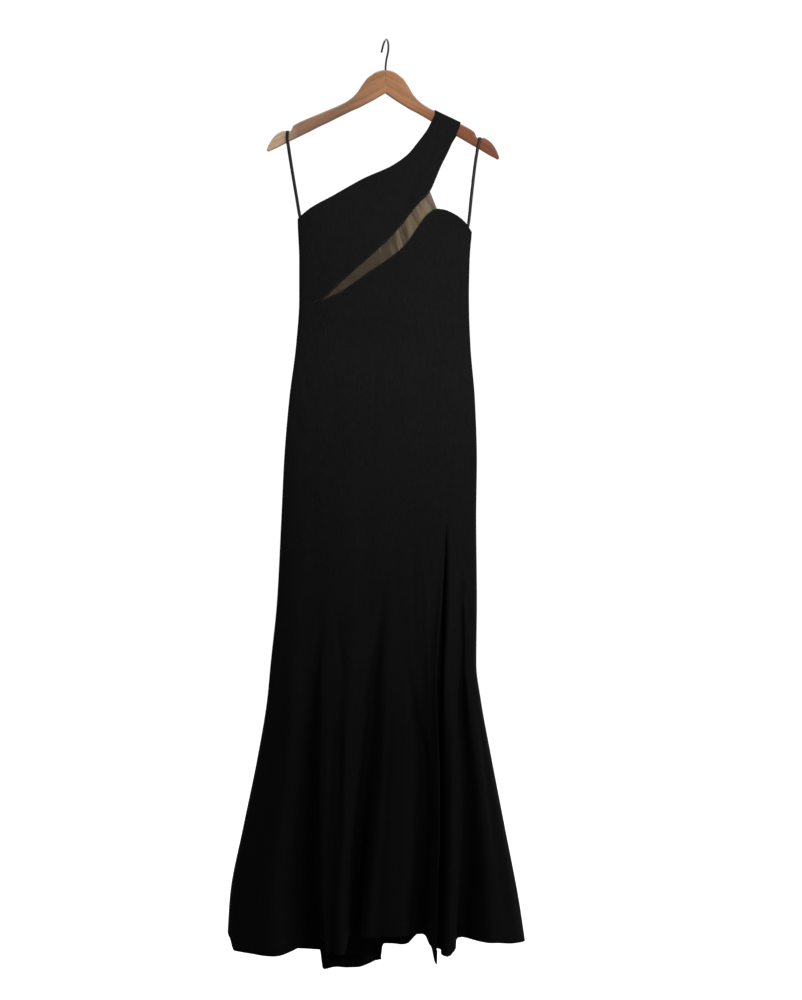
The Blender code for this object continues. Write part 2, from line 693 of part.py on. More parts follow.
def ribbon_loop(name, strands, side):
    """Ribbon that rises in front of the arm, lies in its notch and goes down behind it."""
    notch_top = next(arm.top for arm in ARM if arm.reach == NOTCH_REACH)
    notch = wood_point(NOTCH_REACH + 2.0, notch_top, side).x
    angles = (0.0, 30.0, 60.0, 90.0, 120.0, 150.0, 180.0)
    across = (-0.5, 0.0, 0.5)
    grid = []
    for strand in strands:
        grid.append([Vector((strand.x + RIBBON_WIDTH * a, -strand.y, strand.z)) for a in across])
    under_ribbon = [wood_top(notch + RIBBON_WIDTH * a, side) for a in (-0.5, -0.2, 0.2, 0.5)]
    lift = max(under_ribbon) - min(under_ribbon)
    for angle in angles:
        line = []
        for a in across:
            point = over_the_wood(notch, side, [angle], RIBBON)[0]
            line.append(Vector((notch + RIBBON_WIDTH * a, point.y, point.z + lift)))
        grid.append(line)
    for strand in reversed(strands):
        grid.append([Vector((strand.x + RIBBON_WIDTH * a, strand.y, strand.z)) for a in across])
    grid.reverse()
    normals = normals_of(grid)
    wall(name, grid, moved_in(grid, normals, RIBBON / MM), "black ribbon")


def wood_section(arm, side, points=10):
    """Outline of the arm across its thickness: upright sides with round upper and lower edges."""
    half_height = (arm.top - arm.bottom) / 2
    middle = (arm.top + arm.bottom) / 2
    round_height = min(half_height, WOOD_HALF_THICKNESS)
    section = []
    for half in (1, -1):
        for i in range(points):
            angle = math.pi * i / (points - 1)
            y = -half * WOOD_HALF_THICKNESS * math.cos(angle)
            z = middle + half * (half_height - round_height + round_height * math.sin(angle))
            place = wood_point(arm.reach, z, side)
            section.append(Vector((place.x, y, place.z)))
    return section


def wood_half(name, side):
    """One half of the hanger, from the centre joint to the tip."""
    arms = [Arm(JOINT_GAP, ARM[0].top, ARM[0].bottom)] + list(ARM[1:])
    sections = [wood_section(arm, side) for arm in arms]
    count = len(sections[0])
    points = [p for section in sections for p in section]
    faces = []
    for s in range(len(sections) - 1):
        for i in range(count):
            a = s * count + i
            b = s * count + (i + 1) % count
            faces.append((a, b, b + count, a + count))
    faces.append(tuple(reversed(range(count))))
    faces.append(tuple((len(sections) - 1) * count + i for i in range(count)))
    if side < 0:
        faces = [tuple(reversed(face)) for face in faces]
    half = add_object(name, points, faces, "varnished wood")
    cut = half.modifiers.new("stem hole", "BOOLEAN")
    cut.operation = "DIFFERENCE"
    cut.object = stem_hole()


def stem_hole():
    """Upright hole in the centre joint for the hook's stem."""
    found = bpy.data.objects.get("stem_hole_cutter")
    if found:
        return found
    top = ARM[0].top - WOOD_CENTRE_DROP
    height = STEM_DEPTH + 10.0
    bpy.ops.mesh.primitive_cylinder_add(
        vertices=24,
        radius=STEM_HOLE_RADIUS * MM,
        depth=height * MM,
        location=(0.0, 0.0, (top + 10.0 - height / 2) * MM),
    )
    cutter = bpy.context.object
    cutter.name = "stem_hole_cutter"
    cutter.hide_render = True
    cutter.display_type = "WIRE"
    return cutter


def hook_route():
    """Centre line of the wire in its own plane: crook, reverse bend, stem."""
    crook_centre = WIRE_RADIUS - CROOK_RADIUS
    route = []
    steps = 30
    for i in range(steps + 1):
        degrees = CROOK_TIP + (CROOK_END - CROOK_TIP) * i / steps
        angle = math.radians(degrees)
        opened = max(0.0, (degrees - TIP_FLARE_START) / (CROOK_TIP - TIP_FLARE_START)) ** 2
        out = CROOK_RADIUS * math.cos(angle) - TIP_FLARE * opened
        up = crook_centre + CROOK_RADIUS * math.sin(angle)
        route.append((out, up))
    turn = math.radians(-CROOK_END)
    bend_radius = route[-1][0] / (1 - math.cos(turn))
    bend_end = route[-1][1] - bend_radius * math.sin(turn)
    for i in range(1, 9):
        angle = turn * (1 - i / 8)
        out = bend_radius * (1 - math.cos(angle))
        up = bend_end + bend_radius * math.sin(angle)
        route.append((out, up))
    stem_end = ARM[0].top - WOOD_CENTRE_DROP - STEM_DEPTH + 1.0
    route.append((0.0, stem_end))
    return [Vector((o * math.cos(HOOK_TURN), o * math.sin(HOOK_TURN), u)) for o, u in route]


def wire_hook():
    """Hook bent from round wire."""
    curve = bpy.data.curves.new("hook", "CURVE")
    curve.dimensions = "3D"
    curve.bevel_depth = WIRE_RADIUS * MM
    curve.bevel_resolution = 3
    curve.use_fill_caps = True
    spline = curve.splines.new("POLY")
    route = hook_route()
    spline.points.add(len(route) - 1)
    for point, place in zip(spline.points, route):
        point.co = (*(place * MM), 1.0)
    curve.materials.append(material("steel wire"))
    obj = bpy.data.objects.new("hook", curve)
    bpy.context.scene.collection.objects.link(obj)


def extruded(outline, thickness):
    """Points and faces of a flat shape in X and Z with a thickness in Y."""
    count = len(outline)
    points = [(x, -thickness / 2, z) for x, z in outline]
    points += [(x, thickness / 2, z) for x, z in outline]
    faces = [tuple(range(count)), tuple(reversed(range(count, 2 * count)))]
    for i in range(count):
        following = (i + 1) % count
        faces.append((following, i, i + count, following + count))
    return points, faces


def zip_place():
    """Where the slider lies: 0.3 mm off the cloth over the centre back seam."""
    centre_back = next(line for line in BACK_LINES if line.name == "centre back")
    point = column_point(centre_back, SLIDER_HEIGHT, 1)
    low = column_point(centre_back, SLIDER_HEIGHT - SLIDER_SIZE[2] / 2, 1)
    return Vector((point.x, low.y + SEAM / MM, SLIDER_HEIGHT))


def zip_slider():
    """Slider with the bail that holds the pull."""
    place = zip_place()
    width, depth, height = SLIDER_SIZE
    outline = [(-width / 2, -height / 2 + 1.5), (-width / 2 + 1.2, -height / 2)]
    outline += [(width / 2 - 1.2, -height / 2), (width / 2, -height / 2 + 1.5)]
    outline += [(width / 2, height / 2 - 1.5), (width / 2 - 1.2, height / 2)]
    outline += [(-width / 2 + 1.2, height / 2), (-width / 2, height / 2 - 1.5)]
    points, faces = extruded(outline, depth)
    body = add_object("zip_slider", points, faces, "black metal", smooth=False)
    body.location = (place + Vector((0.0, depth / 2, 0.0))) * MM
    bail = zip_bail(depth)
    bail.location = body.location
    join = body.modifiers.new("bail", "BOOLEAN")
    join.operation = "UNION"
    join.object = bail


def zip_bail(depth):
    """Arch over the pull's bar, in the plane that divides the slider left from right."""
    arc = [math.radians(180 - 180 * i / 12) for i in range(13)]
    axis = depth / 2 + PULL_AXIS_OUT
    outer = [(BAIL_OUTER * math.cos(a), axis + BAIL_OUTER * 0.8 * math.sin(a)) for a in arc]
    inner = [(BAIL_INNER * math.cos(a), axis + BAIL_INNER * 0.8 * math.sin(a)) for a in reversed(arc)]
    foot = depth / 2 - 0.6
    outline = [(-BAIL_OUTER, foot)] + outer + [(BAIL_OUTER, foot)]
    outline += [(BAIL_INNER, foot)] + inner + [(-BAIL_INNER, foot)]
    count = len(outline)
    points = [(-BAIL_WIDTH / 2, y, z) for z, y in outline]
    points += [(BAIL_WIDTH / 2, y, z) for z, y in outline]
    half = count // 2
    strips = [(i, i + 1, count - 2 - i, count - 1 - i) for i in range(half - 1)]
    faces = [tuple(reversed(strip)) for strip in strips]
    faces += [tuple(i + count for i in strip) for strip in strips]
    for i in range(count):
        following = (i + 1) % count
        faces.append((i, following, following + count, i + count))
    bail = add_object("zip_bail_joined", points, faces, "black metal", smooth=False)
    bail.hide_render = True
    bail.display_type = "WIRE"
    return bail


def zip_pull():
    """Drop-shaped pull with a round bar under the bail. It hinges about that bar."""
    place = zip_place()
    window_half = PULL_WINDOW[0] / 2
    window_end = -PULL_WINDOW[1]
    shoulder = PULL_WIDTH / 2
    outer = [(-shoulder, PULL_BAR_RADIUS)]
    outer += [(-shoulder, -PULL_WINDOW[1] - 1.0)]
    for i in range(9):
        angle = math.radians(180 + 180 * i / 8)
        x = (shoulder + 0.6) * math.cos(angle)
        z = -PULL_LENGTH + 3.1 + 3.1 * math.sin(angle)
        outer.append((x, z))
    outer += [(shoulder, -PULL_WINDOW[1] - 1.0), (shoulder, PULL_BAR_RADIUS)]
    points, faces = extruded(outer, PULL_THICKNESS)
    pull = add_object("zip_pull", points, faces, "black metal", smooth=False)
    window = [(-window_half, window_end), (window_half, window_end)]
    window += [(window_half, -PULL_BAR_RADIUS), (-window_half, -PULL_BAR_RADIUS)]
    points, faces = extruded(window, 3 * PULL_THICKNESS)
    cutter = add_object("zip_window_cutter", points, faces, "black metal", smooth=False)
    cutter.hide_render = True
    cutter.display_type = "WIRE"
    axis = place + Vector((0.0, SLIDER_SIZE[1] + PULL_AXIS_OUT, 0.0))
    for obj in (pull, cutter):
        obj.location = axis * MM
    cut = pull.modifiers.new("window", "BOOLEAN")
    cut.operation = "DIFFERENCE"
    cut.object = cutter


def clear_scene():
    for obj in list(bpy.data.objects):
        bpy.data.objects.remove(obj)


def main():
    clear_scene()
    lower = front_body()
    upper = insert_edges(lower)
    mesh_insert(upper, lower)
    shoulder = bodice_front(upper)
    back_body(shoulder)
    ribbon_loop("hanger_loop_left", LEFT_STRANDS, -1)
    ribbon_loop("hanger_loop_right", RIGHT_STRANDS, 1)
    wood_half("hanger_left", -1)
    wood_half("hanger_right", 1)
    wire_hook()
    zip_slider()
    zip_pull()


main()
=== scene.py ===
"""Looks of the black one-shoulder gown on its wooden hanger.

Each piece of cloth is a thin shell on the form of its solid: the body's sections and the
lines that run down it are the solid's own, drawn finer, with creases, seams and turned edges.
Lengths in the tables are millimetres. Objects are in metres, with the front towards -Y.
"""

import math
from collections import namedtuple
from functools import partial

import bpy
import numpy as np
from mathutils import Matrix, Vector


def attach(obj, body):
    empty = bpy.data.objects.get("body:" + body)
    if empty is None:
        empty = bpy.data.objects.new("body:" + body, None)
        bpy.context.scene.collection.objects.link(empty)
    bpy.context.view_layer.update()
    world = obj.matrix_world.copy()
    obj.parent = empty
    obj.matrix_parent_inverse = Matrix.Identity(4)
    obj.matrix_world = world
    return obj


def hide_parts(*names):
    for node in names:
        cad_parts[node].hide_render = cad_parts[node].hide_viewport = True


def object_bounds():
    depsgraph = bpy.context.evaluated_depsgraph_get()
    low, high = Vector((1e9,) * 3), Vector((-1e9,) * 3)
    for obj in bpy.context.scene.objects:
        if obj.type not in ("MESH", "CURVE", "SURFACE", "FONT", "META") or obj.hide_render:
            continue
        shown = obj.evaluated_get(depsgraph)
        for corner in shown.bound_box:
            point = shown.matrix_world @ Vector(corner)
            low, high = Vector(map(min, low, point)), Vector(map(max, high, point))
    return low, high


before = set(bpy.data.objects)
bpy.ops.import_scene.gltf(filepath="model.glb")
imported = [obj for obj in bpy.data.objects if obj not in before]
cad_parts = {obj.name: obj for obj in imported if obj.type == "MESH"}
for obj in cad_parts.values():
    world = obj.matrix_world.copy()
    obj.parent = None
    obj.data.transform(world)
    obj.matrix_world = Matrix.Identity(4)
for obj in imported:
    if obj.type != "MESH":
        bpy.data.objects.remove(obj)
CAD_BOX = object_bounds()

bl_info = {
    "name": "One-shoulder gown",
    "version": (1, 0, 0),
    "blender": (4, 5, 0),
    "location": "View3D > Sidebar > Gown",
    "description": "Makes the gown's cloth, hanger, zip and stage around the packed frame",
    "category": "Object",
}

MM = 0.001
BODY = "gown_and_hanger"

# The gown's form, as its solids have it.
SHARE_HEIGHTS = (-330.0, -487.0, -571.0, -895.0, -1239.0, -1483.0, -1690.0)
WAIST = -571.0
KNEE = -1239.0
HEM = -1690.0
SHOULDER_SEAM_DROP = 7.0

SECTIONS = (
    (-120.0, -165.4, 163.6, 8.0, 8.0),
    (-182.0, -165.4, 163.6, 8.2, 8.2),
    (-240.0, -165.4, 163.6, 12.5, 11.0),
    (-334.6, -165.4, 163.6, 22.0, 17.0),
    (-412.0, -162.6, 158.4, 27.0, 18.5),
    (-487.0, -162.6, 157.0, 25.0, 19.0),
    (-571.0, -168.3, 159.8, 22.0, 20.0),
    (-675.0, -181.4, 168.3, 31.0, 33.0),
    (-788.0, -190.8, 172.0, 40.0, 47.0),
    (-895.0, -195.9, 170.7, 45.0, 52.0),
    (-1051.0, -204.0, 172.0, 47.0, 54.0),
    (-1171.0, -216.2, 170.9, 50.0, 57.0),
    (-1239.0, -222.8, 179.5, 52.0, 60.0),
    (-1352.0, -241.6, 200.2, 57.0, 70.0),
    (-1483.0, -267.9, 225.6, 63.0, 84.0),
    (-1615.0, -292.3, 251.0, 68.0, 98.0),
    (-1690.0, -297.0, 262.3, 70.0, 105.0),
)

# Lines that run down the gown: share of the width, or one for each share height, push out of
# the plain section at the hem, height of the hem, height where the fold starts, and steps.
Line = namedtuple("Line", "name shares push drop start steps")


def line(name, shares, *others):
    return Line(name, shares if isinstance(shares, tuple) else (shares,) * 7, *others)


FRONT_LINES = (
    line("left seam", 0.0, 0.0, -1674, -1100, 1),
    line("left turn", (0.006, 0.006, 0.006, 0.006, 0.006, 0.006, 0.008), 4.0, -1680, -1100, 1),
    line("left side", (0.03, 0.03, 0.03, 0.03, 0.03, 0.03, 0.026), 10, -1701, -1100, 3),
    line("left fold", (0.075, 0.075, 0.10, 0.095, 0.12, 0.14, 0.165), 42, -1695, -1100, 4),
    line("left princess", (0.122, 0.122, 0.19, 0.17, 0.225, 0.267, 0.31), -45, -1687, -1080, 2),
    line("second fold", (0.20, 0.19, 0.24, 0.225, 0.262, 0.30, 0.338), 22, -1692, -1080, 1),
    line("second crease", (0.26, 0.26, 0.28, 0.273, 0.32, 0.345, 0.358), 10, -1692, -1040, 1),
    line("third fold", (0.32, 0.34, 0.34, 0.36, 0.385, 0.385, 0.385), 34, -1690, -1040, 3),
    line("middle valley", (0.48, 0.50, 0.50, 0.52, 0.49, 0.452, 0.424), -45, -1668, -1000, 3),
    line("middle fold", (0.56, 0.58, 0.58, 0.59, 0.56, 0.52, 0.48), 25, -1660, -1000, 2),
    line("right of middle", (0.64, 0.67, 0.67, 0.67, 0.64, 0.61, 0.59), 30, -1656, -1100, 3),
    line("right valley", (0.71, 0.77, 0.77, 0.76, 0.71, 0.695, 0.655), -26, -1668, -1150, 2),
    line("slit turn", (0.75, 0.83, 0.84, 0.81, 0.76, 0.722, 0.682), 12, -1680, -1000, 1),
    line("slit edge", (0.79, 0.885, 0.90, 0.846, 0.793, 0.742, 0.698), 46, -1703, -900, 0),
)
SIDE_LINES = (
    line("under edge", (0.79, 0.885, 0.90, 0.846, 0.786, 0.732, 0.690), -16, -1694, -900, 2),
    line("narrow fold", (0.86, 0.92, 0.93, 0.885, 0.85, 0.795, 0.737), 35, -1694, -930, 1),
    line("narrow flank", (0.88, 0.93, 0.94, 0.91, 0.88, 0.825, 0.765), 12, -1690, -930, 1),
    line("narrow valley", (0.90, 0.94, 0.948, 0.93, 0.905, 0.85, 0.785), -26, -1678, -930, 4),
    line("right fold", (0.95, 0.965, 0.967, 0.96, 0.95, 0.925, 0.89), 30, -1676, -1100, 2),
    line("right side", (0.975, 0.983, 0.984, 0.98, 0.978, 0.972, 0.965), 10, -1686, -1100, 1),
    line("right turn", 0.994, 3.0, -1689, -1100, 1),
    line("right seam", 1.0, 0.0, -1690, -1100, 0),
)
BACK_LINES = (
    line("left seam", 0.0, 0.0, -1674, -1100, 1),
    line("left turn", 0.006, 3.0, -1676, -1100, 1),
    line("left side", 0.03, 8.0, -1690, -1100, 2),
    line("first fold", 0.12, 32, -1712, -1060, 3),
    line("first valley", 0.22, -30, -1722, -1120, 2),
    line("train turn", (0.28, 0.28, 0.28, 0.28, 0.28, 0.285, 0.298), -8, -1731, -1100, 1),
    line("train start", (0.30, 0.30, 0.30, 0.30, 0.30, 0.30, 0.311), 28, -1782, -1000, 1),
    line("second fold", (0.34, 0.34, 0.34, 0.34, 0.34, 0.34, 0.345), 36, -1782, -1000, 3),
    line("second valley", (0.42, 0.42, 0.42, 0.42, 0.42, 0.42, 0.43), -28, -1763, -1150, 2),
    line("centre back", (0.50, 0.50, 0.50, 0.50, 0.50, 0.505, 0.512), 24, -1762, -1040, 1),
    line("train end", (0.52, 0.52, 0.52, 0.52, 0.52, 0.52, 0.524), 12, -1728, -1040, 2),
    line("third valley", (0.59, 0.59, 0.59, 0.58, 0.58, 0.58, 0.585), -30, -1717, -1130, 3),
    line("third fold", (0.69, 0.69, 0.69, 0.68, 0.67, 0.67, 0.67), 38, -1708, -1020, 3),
    line("fourth valley", (0.79, 0.79, 0.79, 0.78, 0.78, 0.78, 0.77), -32, -1700, -1090, 3),
    line("fourth fold", (0.88, 0.88, 0.88, 0.88, 0.88, 0.88, 0.87), 30, -1696, -1060, 2),
    line("right side", (0.97, 0.97, 0.97, 0.97, 0.97, 0.97, 0.965), 8.0, -1692, -1100, 1),
    line("right turn", 0.994, 3.0, -1690, -1100, 1),
    line("right seam", 1.0, 0.0, -1690, -1100, 0),
)

# Edges seen from the front, as pairs of x and z.
NECKLINE = (
    (-165.4, -334.6), (-141.3, -316.0), (-100.0, -294.0), (-40.1, -260.4), (10.4, -237.6),
    (42.2, -214.7), (61.0, -191.8), (77.9, -169.2), (86.5, -153.5), (93.0, -143.0),
)
FRONT_ARMHOLE = (
    (83.4, -285.3), (94.6, -260.4), (104.0, -237.6), (115.3, -214.6), (125.7, -191.8),
    (132.5, -178.5), (139.0, -165.5),
)
INSERT_UPPER = (
    (-122.9, -490.4), (-87.5, -460.2), (-42.3, -420.1), (7.5, -374.8), (30.1, -349.5),
    (59.4, -311.5), (83.4, -285.3),
)
FRONT_TOP = (
    (-164.0, -504.5), (-122.6, -491.0), (-87.6, -476.0), (-37.8, -442.5), (14.2, -407.0),
    (36.7, -387.0), (59.4, -354.5), (70.8, -338.0), (82.0, -326.0), (96.4, -319.0),
    (107.6, -320.0), (130.2, -329.0), (149.1, -343.0), (164.5, -362.8),
)
INSERT_START = -122.0
INSERT_END = 96.4
BODICE_SIDE_END = (-164.0, -504.1)

# The right back panel above the waist: the inner end of each row on the centre back and the
# neckline, the outer end on the side seam and armhole. None is where the body's own edge is.
BACK_ROWS = (
    (None, -520.0, None, -520.0),
    (None, -470.0, None, -470.0),
    (None, -420.0, None, -425.0),
    (None, -372.0, None, -390.0),
    (None, -335.0, 162.0, -367.0),
    (None, -305.0, 136.3, -361.0),
    (None, -278.0, 102.5, -347.8),
    (None, -256.0, 79.9, -325.2),
    (None, -243.0, 72.4, -302.7),
    (9.9, -236.6, 75.6, -291.4),
    (19.5, -231.4, 79.9, -280.1),
    (42.3, -212.4, 94.9, -246.3),
    (61.1, -189.9, 115.6, -206.0),
    (78.0, -167.3, 133.0, -178.0),
)

# Ribbon loops, from the side seam up: x, half the gap between the strands, z.
LEFT_STRANDS = (
    (-151.0, 2.9, -358.0), (-155.6, 2.4, -345.0), (-160.6, 2.4, -331.0), (-167.6, 3.1, -291.0),
    (-174.2, 4.7, -252.0), (-179.6, 5.9, -218.0), (-184.4, 7.3, -186.0),
)
RIGHT_STRANDS = (
    (147.0, 2.9, -390.0), (148.5, 2.4, -374.0), (156.0, 2.6, -342.0), (161.6, 4.6, -290.0),
    (168.4, 5.8, -232.0), (173.6, 7.3, -198.0),
)

# Hanger. The table is one half of its outline, from the centre: reach, top and bottom.
WOOD_HALF_THICKNESS = 6.0
WOOD_CENTRE_DROP = 75.2
WOOD_TILT = math.radians(2.0)
ARM_SLOPE = math.radians(29.0)
JOINT_GAP = 0.15
NOTCH_REACH = 178.6
CLEAR = 0.3
CLOTH_WALL = 1.6
ARM = (
    (0.0, 20.7, -23.4), (6.0, 20.2, -27.3), (12.0, 18.8, -31.2), (18.8, 16.0, -35.6),
    (26.0, 10.8, -39.8), (33.8, 4.8, -44.2), (39.5, -3.0, -47.4), (45.1, -11.4, -50.8),
    (52.0, -22.8, -54.2), (60.2, -32.2, -58.0), (71.0, -40.8, -63.6), (84.6, -48.4, -71.0),
    (103.0, -57.0, -81.0), (122.0, -65.8, -90.8), (141.0, -74.4, -101.2), (160.0, -83.7, -111.3),
    (170.0, -90.0, -116.6), (174.6, -99.4, -119.1), (NOTCH_REACH, -101.9, -121.0),
    (182.8, -101.9, -123.4), (186.6, -99.9, -125.6), (194.0, -102.6, -129.8), (203.0, -109.0, -134.4),
    (210.0, -118.0, -137.8), (215.5, -128.0, -140.4), (218.5, -135.8, -139.2),
)

# Wire hook: its crook runs from the tip to where the stem bends in, as angles in degrees.
WIRE_RADIUS = 2.0
CROOK_RADIUS = 18.0
HOOK_TURN = math.radians(-72.0)
CROOK_TIP = 174.0
TIP_FLARE = 7.0
TIP_FLARE_START = 110.0
CROOK_END = -50.0
STEM_DEPTH = 23.0
# The wire's round tip: distance back from its end, and radius.
TIP_ROUNDING = ((1.4, 0.3), (1.25, 0.9), (0.9, 1.4), (0.45, 1.8))

# How far the strap's edges lean over the hanger, as x for each millimetre of height.
STRAP_LEAN = 0.3
# Radius of a folded edge, and how far cloth goes past a seam so that no light comes through.
EDGE_RADIUS = 0.6
SEAM_OVERLAP = 0.3

# Zip and ribbon. Pitch, turn and thicknesses are in metres.
ZIP_TOP = -247.0
ZIP_END = -700.0
COIL_PITCH = 0.0012
COIL_TURN = (0.0007, 0.0016, 0.0011)
TAPE_REACH = (0.4, 5.0, 12.0)
TAPE_THICKNESS = 0.0004
RIBBON_THICKNESS = 0.0005

# Panels: name, solid, flat size, area of the cut, and the loop or what the panel hangs from.
FRONT_PANELS = (
    ("front_side_left_cloth", "front_side_panel_left", (0.284, 1.24), 0.167, "loop_left_ribbon"),
    ("front_centre_cloth", "front_centre_panel", (0.556, 1.424), 0.406, None),
    ("front_side_right_cloth", "front_side_panel_right", (0.335, 1.411), 0.186, "loop_right_ribbon"),
)
BACK_PANELS = (
    ("back_left_cloth", "back_panel_left", (0.528, 1.557), 0.39, "bodice_front_cloth"),
    ("back_right_cloth", "back_panel_right", (0.52, 1.696), 0.387, "hanger_right"),
)

# Stage, in metres. Lamps: name, what it shines on, place, aim, width and power.
LAMPS = (
    ("key", "lit cloth", (0.9, -1.35, 0.3), (0.0, 0.0, -0.4), 0.7, 89.0),
    ("fill", "lit cloth", (-1.5, -1.5, -0.1), (0.0, 0.0, -0.6), 1.0, 22.0),
    ("low side", "lit cloth", (1.5, -0.7, -1.2), (0.15, 0.0, -1.4), 0.5, 32.0),
    ("back", "lit cloth", (-1.1, 1.5, 0.2), (0.0, 0.0, -0.5), 0.7, 230.0),
    ("low back", "lit cloth", (1.3, 1.1, -1.2), (0.0, 0.0, -1.4), 0.5, 50.0),
    ("hanger key", "lit hanger", (0.9, -1.35, 0.3), (0.0, 0.0, -0.1), 0.7, 14.0),
    ("hanger back", "lit hanger", (-1.1, 1.5, 0.2), (0.0, 0.0, -0.1), 0.7, 14.0),
    ("overhead", None, (0.0, 0.2, 2.2), (0.0, 0.3, -1.8), 2.4, 90.0),
)
SKY_STRENGTH = 1.06
CAMERA_LENS = 57.447
CAMERA_PLACE = (0.02914, -3.0, -0.8629)
FLOOR_DROP = 0.1
FLOOR_CORNERS = ((-60, -60), (60, -60), (60, 60), (-60, 60))

# Creases: path down the cloth as x and z, depth (in is positive) and half width.
Crease = namedtuple("Crease", "path depth width")
FRONT_CREASES = (
    Crease(((-122, -1040), (-127, -1180), (-134, -1343), (-133, -1473), (-124, -1603),
            (-119, -1690)), 9.0, 9.0),
    Crease(((-96, -1028), (-80, -1200), (-82, -1380), (-90, -1541)), 4.0, 7.0),
    Crease(((-108, -1230), (-106, -1400), (-108, -1560), (-104, -1680)), -4.0, 7.0),
    Crease(((-83, -1100), (-73, -1340), (-74, -1526), (-78, -1680)), -3.5, 6.0),
    Crease(((-4, -985), (-24, -1232), (-39, -1445), (-56, -1680)), 6.0, 9.0),
    Crease(((-45, -1130), (-58, -1300), (-66, -1420)), 2.4, 7.0),
    Crease(((12, -1210), (2, -1390), (-8, -1560), (-14, -1665)), 2.6, 9.0),
    Crease(((35, -1130), (58, -1268), (72, -1342), (77, -1471), (72, -1560)), 6.5, 8.0),
    Crease(((50, -930), (55, -1085), (61, -1214)), 1.6, 6.0),
    Crease(((72, -960), (79, -1121), (83, -1300)), -2.6, 6.0),
    Crease(((-15, -540), (-21, -696), (-25, -830)), 0.8, 6.0),
    Crease(((-104, -590), (-92, -700), (-84, -830)), 0.9, 10.0),
    Crease(((95, -1280), (99, -1420), (98, -1560)), 3.0, 5.0),
    Crease(((36, -1560), (44, -1620), (49, -1668)), 4.0, 8.0),
    Crease(((-36, -1590), (-34, -1640), (-31, -1668)), -3.0, 9.0),
)
LEFT_CREASES = (
    Crease(((-205, -1270), (-222, -1400), (-238, -1560), (-246, -1690)), 2.2, 14.0),
    Crease(((-172, -1120), (-178, -1260), (-186, -1420)), -2.0, 12.0),
    Crease(((-160, -600), (-150, -650), (-132, -700)), 1.1, 8.0),
    Crease(((-178, -690), (-160, -730), (-140, -770)), 0.9, 9.0),
    Crease(((-180, -1500), (-192, -1600), (-200, -1692)), 3.0, 10.0),
)
RIGHT_CREASES = (
    Crease(((118, -905), (131, -967), (143, -1030), (143, -1276), (141, -1680)), 7.0, 7.0),
    Crease(((126, -1060), (124, -1250), (124, -1450), (126, -1640)), -3.0, 6.0),
    Crease(((147, -1020), (157, -1078), (167, -1130)), 3.4, 6.0),
    Crease(((140, -930), (152, -985), (166, -1040)), 1.6, 7.0),
    Crease(((172, -1210), (186, -1340), (200, -1500), (208, -1680)), 2.6, 13.0),
    Crease(((226, -1470), (236, -1580), (240, -1690)), -2.2, 10.0),
    Crease(((130, -600), (138, -650), (152, -700)), 1.0, 8.0),
    Crease(((128, -360), (134, -420), (134, -480)), 0.9, 8.0),
)
SLIT_EDGE_CREASES = (
    Crease(((114, -899), (105, -1010), (98, -1150), (94, -1300), (92, -1480), (88, -1690)), -2.5, 9.0),
)
SLIT_UNDER_CREASES = (
    Crease(((114, -890), (110, -960), (106, -1040), (102, -1130)), 9.0, 5.0),
    Crease(((116, -895), (108, -1010), (101, -1150), (97, -1300), (95, -1480), (91, -1690)), 11.0, 6.0),
    Crease(((128, -905), (119, -1010), (113, -1150), (110, -1300), (109, -1480), (107, -1690)), -4.0, 6.0),
)
BODICE_CREASES = (
    Crease(((-25, -290), (-55, -331), (-88, -372)), 1.6, 9.0),
    Crease(((-70, -312), (-96, -352), (-122, -398)), 1.2, 9.0),
    Crease(((66, -225), (44, -290), (22, -352)), 1.1, 8.0),
    Crease(((104, -190), (84, -240), (60, -292)), -0.9, 6.0),
    Crease(((-140, -350), (-132, -400), (-118, -446)), 0.9, 8.0),
    Crease(((0, -300), (-30, -350), (-62, -400)), -1.0, 9.0),
)
BACK_CREASES = (
    Crease(((-230, -1290), (-246, -1430), (-258, -1600)), 3.0, 12.0),
    Crease(((-150, -1150), (-168, -1330), (-176, -1520), (-180, -1700)), -4.0, 10.0),
    Crease(((-128, -1010), (-136, -1240), (-142, -1480), (-136, -1720)), 5.0, 8.0),
    Crease(((-84, -1080), (-96, -1300), (-98, -1560), (-96, -1740)), -4.5, 9.0),
    Crease(((-52, -1180), (-60, -1380), (-62, -1600)), 4.0, 8.0),
    Crease(((-24, -960), (-28, -1180), (-30, -1420), (-30, -1700)), 2.4, 10.0),
    Crease(((-90, -600), (-70, -660), (-40, -710)), 1.2, 9.0),
    Crease(((-140, -640), (-110, -690), (-70, -730)), 1.0, 9.0),
    Crease(((-120, -380), (-90, -440), (-50, -490)), 1.0, 10.0),
    Crease(((20, -1050), (26, -1260), (32, -1500), (34, -1720)), 5.0, 8.0),
    Crease(((60, -1000), (72, -1220), (84, -1450), (88, -1690)), -4.5, 9.0),
    Crease(((104, -1120), (120, -1340), (130, -1560), (134, -1690)), 4.5, 9.0),
    Crease(((150, -1190), (172, -1380), (190, -1600)), -3.5, 11.0),
    Crease(((196, -1330), (214, -1480), (226, -1660)), 3.0, 10.0),
    Crease(((70, -610), (50, -660), (24, -700)), 1.1, 9.0),
    Crease(((130, -650), (104, -700), (66, -740)), 0.9, 10.0),
    Crease(((110, -400), (80, -450), (40, -500)), 1.0, 10.0),
    Crease(((70, -250), (62, -300), (44, -360)), 0.8, 8.0),
)
ALL_FRONT_CREASES = FRONT_CREASES + LEFT_CREASES + RIGHT_CREASES + BODICE_CREASES


def linear(hex_colour):
    """Linear colour with alpha, from an sRGB hex value."""
    parts = [int(hex_colour[i : i + 2], 16) / 255 for i in (1, 3, 5)]
    return tuple(c / 12.92 if c <= 0.04045 else ((c + 0.055) / 1.055) ** 2.4 for c in parts) + (1.0,)


